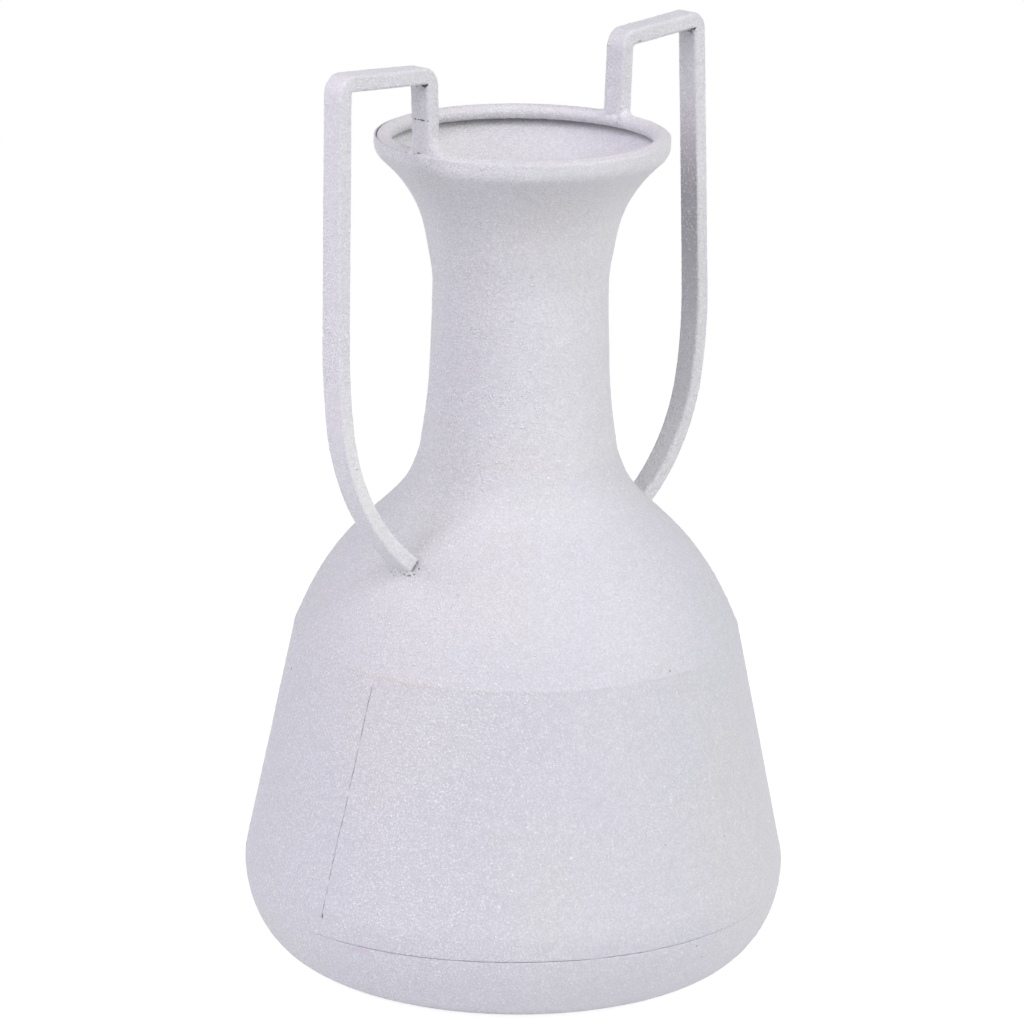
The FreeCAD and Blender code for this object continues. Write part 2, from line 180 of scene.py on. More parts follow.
@dataclass(frozen=True)
class Wobble:
    """Seeded unevenness about a mean, with the width of its lumps, and a finer one on top."""

    depth: float
    size: float
    mean: float = 0.0
    finer: "Wobble | None" = None

    def at(self, points: Array) -> Array:
        """Unevenness at points."""
        total = self.mean + self.depth * METAL.at(points, self.size)
        return total if self.finer is None else total + self.finer.at(points)

    def share(self, points: Array) -> Array:
        """Unevenness at points, held between 0 and 1."""
        return np.clip(self.at(points), 0, 1)


class SectionLine:
    """Line in the vase's section, measured along its length, with its outward side on its right."""

    def __init__(self, points: Array) -> None:
        """Measures the line.

        Args:
            points: (radius, height) of close points.
        """
        steps = np.linalg.norm(np.diff(points, axis=0), axis=1)
        points = points[np.concatenate([[True], steps > SAME_PLACE])]
        steps = steps[steps > SAME_PLACE]
        self.points = points
        self.along = np.concatenate([[0.0], np.cumsum(steps)])
        tangents = np.gradient(points, self.along, axis=0)
        tangents /= np.linalg.norm(tangents, axis=1, keepdims=True)
        self.outward = np.stack([tangents[:, 1], -tangents[:, 0]], axis=1)

    def at(self, along: Array, depth: Array) -> tuple[Array, Array]:
        """Radius and height of places under the line.

        Args:
            along: lengths from the line's start.
            depth: depths under the outward side.

        Returns:
            Radii and heights.
        """
        radius, height, out_r, out_z = (
            np.interp(along, self.along, column)
            for column in (*self.points.T, *self.outward.T)
        )
        return radius - depth * out_r, height - depth * out_z

    def along_at(self, height: float) -> float:
        """Length at which the line first rises to a height."""
        return float(self.along[np.argmax(self.points[:, 1] >= height - SAME_PLACE)])

    def along_near(self, radius: float, height: float) -> float:
        """Length at the line's point nearest to a place."""
        away = np.hypot(self.points[:, 0] - radius, self.points[:, 1] - height)
        return float(self.along[np.argmin(away)])


def around(radius: Array, height: Array, angle: Array) -> Array:
    """Places round the axis.

    Args:
        radius: distances from the axis.
        height: heights.
        angle: angles about the axis, in degrees.

    Returns:
        Places with x, y and z last.
    """
    radius, height, turn = np.broadcast_arrays(radius, height, np.radians(angle))
    return np.stack([radius * np.cos(turn), radius * np.sin(turn), height], axis=-1)


def between(value: Array, knots: Knots) -> Array:
    """Straight lines through knots of (place, value), read at places."""
    places, values = np.array(knots).T
    return np.interp(value, places, values)


def round_axis(angle: Array, knots: Knots) -> Array:
    """Straight lines through knots of (angle, value) that close round the axis."""
    first, value = knots[0]
    return between((angle - first) % 360 + first, (*knots, (first + 360, value)))


def bell(away: Array, width: float, power: int = 2) -> Array:
    """1 at no distance, fading within a width, and more squarely with a higher even power."""
    return np.exp(-((away / width) ** power))


def arc(centre: Array, radius: float, first: float, last: float, count: int) -> Array:
    """Close points of an arc in the section, with angles in degrees from outwards to upwards."""
    turn = np.radians(np.linspace(first, last, count))
    return centre + radius * np.stack([np.cos(turn), np.sin(turn)], axis=1)


def spline(points: Array, first: Array | None = None, last: Array | None = None) -> Array:
    """Smooth curve through points, sampled closely.

    Args:
        points: (radius, height) of the points.
        first: direction at the first point, if it is given.
        last: direction at the last point, if it is given.

    Returns:
        Close points of the curve.
    """
    count = len(points)
    spans = np.linalg.norm(np.diff(points, axis=0), axis=1)
    slopes = np.diff(points, axis=0) / spans[:, None]
    system, wanted = np.zeros((count, count)), np.zeros((count, 2))
    for i in range(1, count - 1):
        system[i, i - 1 : i + 2] = spans[i], 2 * (spans[i - 1] + spans[i]), spans[i - 1]
        wanted[i] = 3 * (spans[i] * slopes[i - 1] + spans[i - 1] * slopes[i])
    for row, beside, slope, given in ((0, 1, slopes[0], first), (-1, -2, slopes[-1], last)):
        system[row, row] = 1 if given is not None else 2
        system[row, beside] = 0 if given is not None else 1
        wanted[row] = given if given is not None else 3 * slope
    ways = np.linalg.solve(system, wanted)
    made = []
    for i, span in enumerate(spans):
        t = np.linspace(0, 1, max(3, int(span / CURVE_STEP)))[:, None]
        made.append(
            (2 * t**3 - 3 * t**2 + 1) * points[i]
            + (t**3 - 2 * t**2 + t) * span * ways[i]
            + (3 * t**2 - 2 * t**3) * points[i + 1]
            + (t**3 - t**2) * span * ways[i + 1]
        )
    return np.concatenate(made)


def by_shares(low: Array, high: Array, shares: Knots) -> Array:
    """Outline from low to high, with the radius moved by a share at each share of the height."""
    span = high - low
    return np.array([low, *(low + span * np.array([part, rise]) for rise, part in shares), high])


@dataclass(frozen=True)
class Grid:
    """Rows of places that make one closed solid."""

    rows: Array
    closed_rows: bool = False
    capped: bool = True
    inside_from: int | None = None
    bare_and_shade: Array | float = 0.0


def solid(name: str, grids: list[Grid], materials: list[Material]) -> Piece:
    """Smooth-shaded mesh object over grids of places.

    Args:
        name: name of the piece.
        grids: the solids that it is made of, in millimetres.
        materials: the coat, and a second one for rows from a grid's inside_from on.

    Returns:
        The object, in metres.
    """
    places: list = []
    faces: list = []
    inner: list = []
    bare_and_shade: list = []
    for grid in grids:
        count, width = grid.rows.shape[:2]
        index = np.arange(count * width).reshape(count, width) + len(places)
        places += (grid.rows.reshape(-1, 3) * MM).tolist()
        bare_and_shade += np.broadcast_to(grid.bare_and_shade, (count, width)).reshape(-1).tolist()
        if grid.closed_rows:
            index = np.concatenate([index, index[:1]])
        index = np.concatenate([index, index[:, :1]], axis=1)
        corners = (index[:-1, :-1], index[:-1, 1:], index[1:, 1:], index[1:, :-1])
        quads = np.stack(corners, axis=-1)
        faces += quads.reshape(-1, 4).tolist()
        from_row = quads.shape[0] if grid.inside_from is None else grid.inside_from
        inner += [0] * (from_row * quads.shape[1])
        inner += [1] * ((quads.shape[0] - from_row) * quads.shape[1])
        for row, place, back in ((index[0], grid.rows[0], True), (index[-1], grid.rows[-1], False)):
            if grid.capped:
                middle = len(places)
                places.append((place.mean(axis=0) * MM).tolist())
                bare_and_shade.append(0.0)
                for start, end in zip(row[:-1].tolist(), row[1:].tolist()):
                    faces.append([end, start, middle] if back else [start, end, middle])
                    inner.append(0 if back or grid.inside_from is None else 1)
    mesh = bpy.data.meshes.new(name)
    mesh.from_pydata(places, [], faces)
    for material in materials:
        mesh.materials.append(material)
    if len(materials) > 1:
        mesh.polygons.foreach_set("material_index", np.array(inner, np.int32))
    mesh.attributes.new("bare_and_shade", "FLOAT", "POINT").data.foreach_set("value", bare_and_shade)
    mesh.shade_smooth()
    mesh.set_sharp_from_angle(angle=math.radians(SHARP_ANGLE))
    made = bpy.data.objects.new(name, mesh)
    bpy.context.scene.collection.objects.link(made)
    return made


def fit(piece: Piece, node: str) -> None:
    """Puts a piece in its node's place.

    Args:
        piece: the finished piece.
        node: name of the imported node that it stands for.
    """
    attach(piece, BODY)
    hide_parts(node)
    log.info("%s stands for %s with %d faces", piece.name, node, len(piece.data.polygons))


# Finishes


PLAIN = (0.8, 0.8, 0.8)
# Lighter copies of the coat, painted light for the neck, trumpet, rod, bead, bars, stubs and welds.
COAT_PAINTED_LIGHTER = (0.865, 0.86, 0.90)
COAT_PAINTED_PALER = (0.88, 0.87, 0.905)
WARMER = (0.86, 0.845, 0.86)
GRAIN_HIGHLIGHT_WHITE = (0.97, 0.96, 0.98)
PIN_GREY = (0.2, 0.18, 0.22)
BARE_METAL_AND_SHADE = (0.09, 0.075, 0.06)
INK = (0.12, 0.10, 0.14)
RUST = (0.45, 0.16, 0.03)
PINK = (0.72, 0.60, 0.70)
WHITE = (0.97, 0.97, 0.97)
# Way to the side where the grain is denser and the coat carries painted shade.
HEAVY_AND_SHADED_WAY = (-0.687, 0.7266, 0.0)


def add(
    tree: Tree,
    kind: str,
    inputs: dict | None = None,
    placed: Tree | None = None,
    **settings: object,
) -> bpy.types.Node:
    """Adds a shader node.

    Args:
        tree: tree that gets the node.
        kind: type of the node, without ShaderNode.
        inputs: value, or socket to link, for each input that is set.
        placed: the group that a Group node places.
        settings: properties of the node.

    Returns:
        The node.
    """
    node = tree.nodes.new("ShaderNode" + kind)
    if placed is not None:
        node.node_tree = placed
    for key, value in settings.items():
        setattr(node, key, value)
    for key, value in (inputs or {}).items():
        if isinstance(value, Socket):
            tree.links.new(value, node.inputs[key])
        else:
            node.inputs[key].default_value = value
    return node


def sums(tree: Tree, kind: str, *values: object) -> Socket:
    """Adds a Math node over numbers or sockets and returns its output."""
    return add(tree, "Math", dict(enumerate(values)), operation=kind).outputs[0]


def ramp(tree: Tree, value: object, low: object, high: object, to_low: float = 0.0) -> Socket:
    """Adds a smooth step from low to high, which gives to_low to 1."""
    inputs = {"Value": value, "From Min": low, "From Max": high, "To Min": to_low}
    return add(tree, "MapRange", inputs, interpolation_type="SMOOTHSTEP").outputs[0]


def opaque(colour: Colour | Socket) -> tuple | Socket:
    """Colour in the form that a socket takes, or the socket that gives it."""
    return colour if isinstance(colour, Socket) else (*colour, 1.0)


def blend(tree: Tree, share: object, first: Socket, second: Colour | Socket) -> Socket:
    """Adds a mix of two colours and returns its output."""
    inputs = {0: share, 6: first, 7: opaque(second)}
    return add(tree, "Mix", inputs, data_type="RGBA").outputs[2]


def darken(tree: Tree, colour: Socket, share: Socket) -> Socket:
    """Adds a product of a colour and a share and returns its output."""
    inputs = {0: 1.0, 6: colour, 7: share}
    return add(tree, "Mix", inputs, data_type="RGBA", blend_type="MULTIPLY").outputs[2]


def dot(tree: Tree, first: Socket, second: object) -> Socket:
    """Adds a dot product and returns its output."""
    return add(tree, "VectorMath", {0: first, 1: second}, operation="DOT_PRODUCT").outputs["Value"]


def noise(tree: Tree, where: Socket, scale: object, detail: float, rough: float = 0.5) -> Socket:
    """Adds a noise texture and returns its value."""
    inputs = {"Vector": where, "Scale": scale, "Detail": detail, "Roughness": rough}
    return add(tree, "TexNoise", inputs).outputs["Fac"]


def cells(tree: Tree, where: Socket, scale: object, channel: str) -> tuple[Socket, Socket]:
    """Adds a cell texture.

    Args:
        tree: tree that gets the texture.
        where: places.
        scale: cells in a metre.
        channel: channel of the cells' colour that gives their chance.

    Returns:
        The distance to the cell's middle, and the cell's own chance.
    """
    made = add(tree, "TexVoronoi", {"Vector": where, "Scale": scale}).outputs
    parts = add(tree, "SeparateColor", {"Color": made["Color"]}).outputs
    return made["Distance"], parts[channel]


def group(
    name: str, inputs: dict[str, float | tuple], outputs: dict[str, str]
) -> tuple[Tree, bpy.types.Node, bpy.types.Node]:
    """Starts a shader node group.

    Args:
        name: name of the group.
        inputs: default of each input. A tuple of three is a vector, and of four a colour.
        outputs: kind of each output, Float or Color.

    Returns:
        The tree, its input node and its output node.
    """
    tree = bpy.data.node_groups.new(name, "ShaderNodeTree")
    for label, default in inputs.items():
        kind = {3: "Vector", 4: "Color"}[len(default)] if isinstance(default, tuple) else "Float"
        socket = tree.interface.new_socket(label, in_out="INPUT", socket_type="NodeSocket" + kind)
        socket.default_value = default
    for label, kind in outputs.items():
        tree.interface.new_socket(label, in_out="OUTPUT", socket_type="NodeSocket" + kind)
    return tree, tree.nodes.new("NodeGroupInput"), tree.nodes.new("NodeGroupOutput")


def put_out(tree: Tree, out: bpy.types.Node, results: dict[str, Socket]) -> Tree:
    """Links a group's results to its output node and returns the group."""
    for label, socket in results.items():
        tree.links.new(socket, out.inputs[label])
    return tree


def crests(
    tree: Tree, where: Socket, scale: Socket, channel: str, least: Socket, fade: float,
    foot: float, top: float,
) -> Socket:
    """Adds crests at the middles of some of a texture's cells.

    Args:
        tree: tree that gets the crests.
        where: places.
        scale: cells in a metre.
        channel: channel of the cells' colour that gives their chance.
        least: chance from which a cell has a crest.
        fade: how far over the least chance the crests are full.
        foot: distance from the cell's middle at which its crest starts.
        top: distance from the cell's middle at which its crest is full.

    Returns:
        Height of the crests, from 0 to 1.
    """
    distance, chance = cells(tree, where, scale, channel)
    kept = ramp(tree, chance, least, sums(tree, "ADD", least, fade))
    return sums(tree, "MULTIPLY", ramp(tree, distance, foot, top), kept)


def powder_group() -> Tree:
    """Raised grain of the powder coat, closer towards one side of the vase.

    Returns:
        Group with the coat's height, its grains' mask and the heavy side's share, also for painted
        shade.
    """
    tree, into, out = group(
        "powder_grain",
        {"Density": 0.5, "Grain Scale": 450.0, "Fine Scale": 900.0, "Heavy And Shaded Side": 0.5},
        {"Height": "Float", "Grains": "Float", "Side": "Float"},
    )
    given = into.outputs
    where = add(tree, "TexCoord").outputs["Object"]
    to_side = dot(tree, where, HEAVY_AND_SHADED_WAY)
    heavy_and_shaded = sums(tree, "MULTIPLY", ramp(tree, to_side, low=-0.03, high=0.05), given["Heavy And Shaded Side"])
    patchy = sums(tree, "MULTIPLY_ADD", noise(tree, where, scale=34.0, detail=2.0), 0.9, -0.45)
    share = sums(tree, "ADD", sums(tree, "ADD", patchy, given["Density"]), heavy_and_shaded)
    least = sums(tree, "SUBTRACT", 1.0, share)
    scale = given["Grain Scale"]
    small = crests(tree, where, scale, "Red", least, fade=0.4, foot=0.5, top=0.12)
    rare = sums(tree, "SUBTRACT", 0.98, sums(tree, "MULTIPLY", share, 0.3))
    broad = sums(tree, "MULTIPLY", scale, 0.52)
    large = crests(tree, where, broad, "Blue", rare, fade=0.15, foot=0.36, top=0.08)
    grains = sums(tree, "MAXIMUM", small, sums(tree, "MULTIPLY", large, 1.6))
    fine = noise(tree, where, given["Fine Scale"], detail=2.0, rough=0.6)
    height = sums(tree, "ADD", grains, sums(tree, "MULTIPLY", fine, 0.9))
    return put_out(tree, out, {"Height": height, "Grains": grains, "Side": heavy_and_shaded})


def spun_group() -> Tree:
    """Fine rings that the spinning tool leaves round the axis.

    Returns:
        Group with the height of the rings.
    """
    tree, into, out = group("spun_rings", {"Rings": 620.0, "Along": 26.0}, {"Height": "Float"})
    given = into.outputs
    where = add(tree, "SeparateXYZ", {0: add(tree, "TexCoord").outputs["Object"]}).outputs
    scales = (given["Along"], given["Along"], given["Rings"])
    drawn = {i: sums(tree, "MULTIPLY", where[i], scale) for i, scale in enumerate(scales)}
    rings = noise(tree, add(tree, "CombineXYZ", drawn).outputs[0], scale=1.0, detail=2.0)
    return put_out(tree, out, {"Height": rings})


def tone_group() -> Tree:
    """Coat tone: patches, pin specks, bare metal, painted shade and painted highlights on grains.

    Returns:
        Group with the colour and the roughness.
    """
    tree, into, out = group(
        "coat_tone",
        {"Coat": opaque(PLAIN), "Warm": opaque(PLAIN), "Height": 0.0, "Grains": 0.0, "Side": 0.0}
        | {"Grain Highlights": 0.35, "Dull": 0.6},
        {"Color": "Color", "Roughness": "Float"},
    )
    given = into.outputs
    where = add(tree, "TexCoord").outputs["Object"]
    broad = noise(tree, where, scale=9.0, detail=3.0)
    colour = blend(tree, ramp(tree, broad, low=0.42, high=0.68), given["Coat"], given["Warm"])
    cloud = noise(tree, where, scale=210.0, detail=4.0)
    colour = darken(tree, colour, ramp(tree, cloud, low=0.3, high=0.7, to_low=0.96))
    # Painted shade: the low places of the coat's grain are painted darker.
    colour = darken(tree, colour, ramp(tree, given["Height"], low=0.32, high=0.62, to_low=0.86))
    # Painted shade: the heavy side of the vase is painted darker.
    colour = darken(tree, colour, sums(tree, "MULTIPLY_ADD", given["Side"], -0.05, 1.0))
    # Painted highlights: the grains' crests are painted near white.
    pale = sums(tree, "MULTIPLY", given["Grains"], given["Grain Highlights"])
    colour = blend(tree, pale, colour, GRAIN_HIGHLIGHT_WHITE)
    distance, chance = cells(tree, where, scale=42.0, channel="Green")
    few = sums(tree, "GREATER_THAN", chance, 0.8)
    pins = sums(tree, "MULTIPLY", ramp(tree, distance, low=0.024, high=0.008), few)
    colour = blend(tree, sums(tree, "MULTIPLY", pins, 0.35), colour, PIN_GREY)
    # Bare metal in cracks, and painted shade under the rod ring and at the bars' corners and feet.
    bare_and_shade = add(tree, "Attribute", attribute_name="bare_and_shade").outputs["Fac"]
    colour = blend(tree, ramp(tree, bare_and_shade, low=0.0, high=1.0), colour, BARE_METAL_AND_SHADE)
    uneven = sums(tree, "MULTIPLY_ADD", cloud, 0.25, -0.12)
    rough = sums(tree, "ADD", uneven, given["Dull"])
    return put_out(tree, out, {"Color": colour, "Roughness": rough})


def mark_group() -> Tree:
    """One small mark at a place, such as a rust dot or a nick.

    Returns:
        Group with the mark's mask.
    """
    tree, into, out = group(
        "small_mark",
        {"Place": (0.0, 0.0, 0.0), "Per Size": (1.0, 1.0, 1.0), "Strength": 1.0},
        {"Mask": "Float"},
    )
    given = into.outputs
    where = add(tree, "TexCoord").outputs["Object"]
    away = add(tree, "VectorMath", {0: where, 1: given["Place"]}, operation="SUBTRACT").outputs[0]
    scaled = add(tree, "VectorMath", {0: away, 1: given["Per Size"]}, operation="MULTIPLY")
    far = add(tree, "VectorMath", {0: scaled.outputs[0]}, operation="LENGTH").outputs["Value"]
    mask = sums(tree, "MULTIPLY", ramp(tree, far, low=1.0, high=0.5), given["Strength"])
    return put_out(tree, out, {"Mask": mask})


@dataclass(frozen=True)
class SmallMark:
    """Rust dot, nick or stain in the coat, at an angle, height and distance from the axis."""

    angle: float
    height: float
    radius: float
    size: tuple[float, float, float]
    colour: Colour
    strength: float = 1.0

    def place(self) -> tuple[float, ...]:
        """Its place in metres."""
        turn = math.radians(self.angle)
        spot = (self.radius * math.cos(turn), self.radius * math.sin(turn), self.height)
        return tuple(value * MM for value in spot)

    def per_size(self) -> tuple[float, ...]:
        """One over its half sizes in metres."""
        return tuple(1 / (value * MM) for value in self.size)


def facing_light_group() -> Tree:
    """Painted light and shade on the faces of a bar that look one way, fading up and down.

    Returns:
        Group with the colour.
    """
    tree, into, out = group(
        "painted_facing_light",
        {"Color": opaque(PLAIN), "Face": (0.0, 0.0, 0.0), "Painted Light Color": opaque(PLAIN)}
        | {"High": 1.0, "Most": 0.5, "Low": 0.0},
        {"Color": "Color"},
    )
    given, place = into.outputs, add(tree, "TexCoord").outputs
    facing = ramp(tree, dot(tree, place["Normal"], given["Face"]), low=0.6, high=0.95)
    level = add(tree, "SeparateXYZ", {0: place["Object"]}).outputs["Z"]
    above, below = (ramp(tree, level, given[end], given["Most"]) for end in ("High", "Low"))
    share = sums(tree, "MULTIPLY", facing, sums(tree, "MULTIPLY", above, below))
    # Painted light and shade: faces that look the given way take the other colour.
    colour = blend(tree, share, given["Color"], given["Painted Light Color"])
    return put_out(tree, out, {"Color": colour})


@dataclass(frozen=True)
class FacingLight:
    """Painted light and shade on one of a bar's faces, strongest at a height between two others."""

    way: tuple[float, float, float]
    colour: Colour
    high: float
    most: float
    low: float


class CoatGroups:
    """Node groups that all finishes share."""

    def __init__(self) -> None:
        """Builds each group once."""
        self.powder = powder_group()
        self.spun = spun_group()
        self.tone = tone_group()
        self.mark = mark_group()
        self.face = facing_light_group()


@dataclass(frozen=True)
class CoatFinish:
    """Matt powder coat with raised grain."""

    name: str
    coat: Colour = (0.79, 0.785, 0.84)
    warm: Colour = (0.81, 0.80, 0.82)
    dull: float = 0.5
    grain_depth: float = 0.24
    density: float = 0.22
    grain_size: float = 1.3
    fine_size: float = 0.95
    heavy_and_shaded_side: float = 0.7
    grain_highlights: float = 0.8
    ring_depth: float = 0.0
    ring_pitch: float = 1.6
    face: FacingLight | None = None
    marks: tuple[SmallMark, ...] = ()

    def material(self, groups: CoatGroups) -> Material:
        """Builds the material.

        Args:
            groups: the shared node groups.

        Returns:
            The material.
        """
        made = bpy.data.materials.new(self.name)
        made.use_nodes = True
        tree = made.node_tree
        shader = tree.nodes["Principled BSDF"]
        grain = {
            "Density": self.density,
            "Grain Scale": 1 / (self.grain_size * MM),
            "Fine Scale": 1 / (self.fine_size * MM),
            "Heavy And Shaded Side": self.heavy_and_shaded_side,
        }
        powder = add(tree, "Group", grain, placed=groups.powder).outputs
        toned = {
            "Coat": opaque(self.coat),
            "Warm": opaque(self.warm),
            "Grain Highlights": self.grain_highlights,
            "Dull": self.dull,
            **{label: powder[label] for label in ("Height", "Grains", "Side")},
        }
        if self.face:
            turned = {
                "Color": opaque(self.coat),
                "Face": self.face.way,
                "Painted Light Color": opaque(self.face.colour),
                "High": self.face.high * MM,
                "Most": self.face.most * MM,
                "Low": self.face.low * MM,
            }
            under = add(tree, "Group", turned, placed=groups.face).outputs["Color"]
            toned |= {"Coat": under, "Warm": under}
        tone = add(tree, "Group", toned, placed=groups.tone).outputs
        colour = tone["Color"]
        for mark in self.marks:
            spot = {"Place": mark.place(), "Per Size": mark.per_size(), "Strength": mark.strength}
            mask = add(tree, "Group", spot, placed=groups.mark).outputs["Mask"]
            colour = blend(tree, mask, colour, mark.colour)
        raised = {"Height": powder["Height"], "Distance": self.grain_depth * MM, "Strength": 1.0}
        normal = add(tree, "Bump", raised).outputs["Normal"]
        if self.ring_depth:
            pitch = {"Rings": 1 / (self.ring_pitch * MM)}
            rings = add(tree, "Group", pitch, placed=groups.spun).outputs["Height"]
            spun = {"Height": rings, "Distance": self.ring_depth * MM, "Strength": 1.0}
            normal = add(tree, "Bump", spun | {"Normal": normal}).outputs["Normal"]
        tree.links.new(colour, shader.inputs["Base Color"])
        tree.links.new(tone["Roughness"], shader.inputs["Roughness"])
        tree.links.new(normal, shader.inputs["Normal"])
        return made


# Marks by angle, height, distance from the axis, half sizes, colour and strength

SKIRT_MARKS = (
    SmallMark(147.1, 149.8, 114.0, (0.8, 0.8, 0.8), RUST),
    SmallMark(-101.3, 87.4, 126.7, (0.7, 0.7, 0.5), INK, 0.5),
    SmallMark(-83.0, 82.4, 127.7, (0.7, 0.7, 0.5), INK, 0.5),
)
PAN_MARKS = (
    SmallMark(-94.4, 33.9, 133.9, (0.8, 0.8, 0.6), INK, 0.6),
    SmallMark(-91.9, 26.1, 131.9, (0.7, 0.7, 0.5), INK, 0.5),
    SmallMark(-169.4, 34.5, 134.0, (6.0, 6.0, 2.2), PINK, 0.5),
)
DOME_MARKS = (
    SmallMark(-155.3, 206.3, 88.1, (1.3, 2.2, 0.3), INK, 0.2),
    SmallMark(-93.9, 168.4, 110.0, (0.8, 0.8, 0.8), INK, 0.6),
    # Dark marks in a cluster on the dome under the left bar's foot.
    SmallMark(-182.6, 210.0, 85.0, (0.9, 0.8, 0.5), INK, 0.55),
    SmallMark(-180.7, 210.7, 84.3, (1.4, 1.3, 0.5), INK, 0.4),
    SmallMark(-180.5, 208.9, 85.9, (0.9, 1.0, 0.4), INK, 0.45),
    SmallMark(-179.1, 211.8, 83.4, (1.0, 1.1, 0.6), INK, 0.6),
    SmallMark(-176.8, 210.9, 84.2, (1.0, 1.1, 0.5), INK, 0.8),
    SmallMark(-174.7, 210.8, 84.3, (1.0, 1.0, 0.45), INK, 0.9),
    SmallMark(-173.0, 211.4, 83.8, (0.9, 0.9, 0.45), INK, 0.7),
    SmallMark(-172.2, 213.9, 81.5, (0.8, 0.8, 0.6), INK, 0.8),
)
NECK_MARKS = (
    SmallMark(-93.6, 332.5, 43.6, (0.7, 0.7, 0.6), INK, 0.5),
    SmallMark(-127.7, 256.8, 49.0, (3.2, 2.4, 0.3), INK, 0.15),
)
LEFT_BAR_MARKS = (
    SmallMark(183.4, 271.7, 120.5, (1.9, 1.2, 0.6), WHITE, 0.9),
    SmallMark(183.4, 270.4, 119.5, (1.0, 1.2, 0.5), INK, 0.6),
)
RIGHT_BAR_MARKS = (SmallMark(-4.45, 451.3, 77.2, (2.0, 1.0, 0.5), INK, 0.6),)
STUB_MARKS = (SmallMark(179.4, 415.6, 71.3, (1.2, 1.8, 0.45), INK, 0.85),)
WELD_MARKS = (
    *STUB_MARKS,
    # Dark marks on the left foot weld, beside the cluster on the dome.
    SmallMark(-178.0, 211.6, 84.6, (2.0, 1.2, 0.5), INK, 0.6),
    SmallMark(-176.2, 211.0, 84.8, (2.0, 1.3, 0.5), INK, 0.8),
    SmallMark(-174.4, 210.7, 84.8, (1.8, 1.1, 0.5), INK, 0.8),
)


# The sheet body


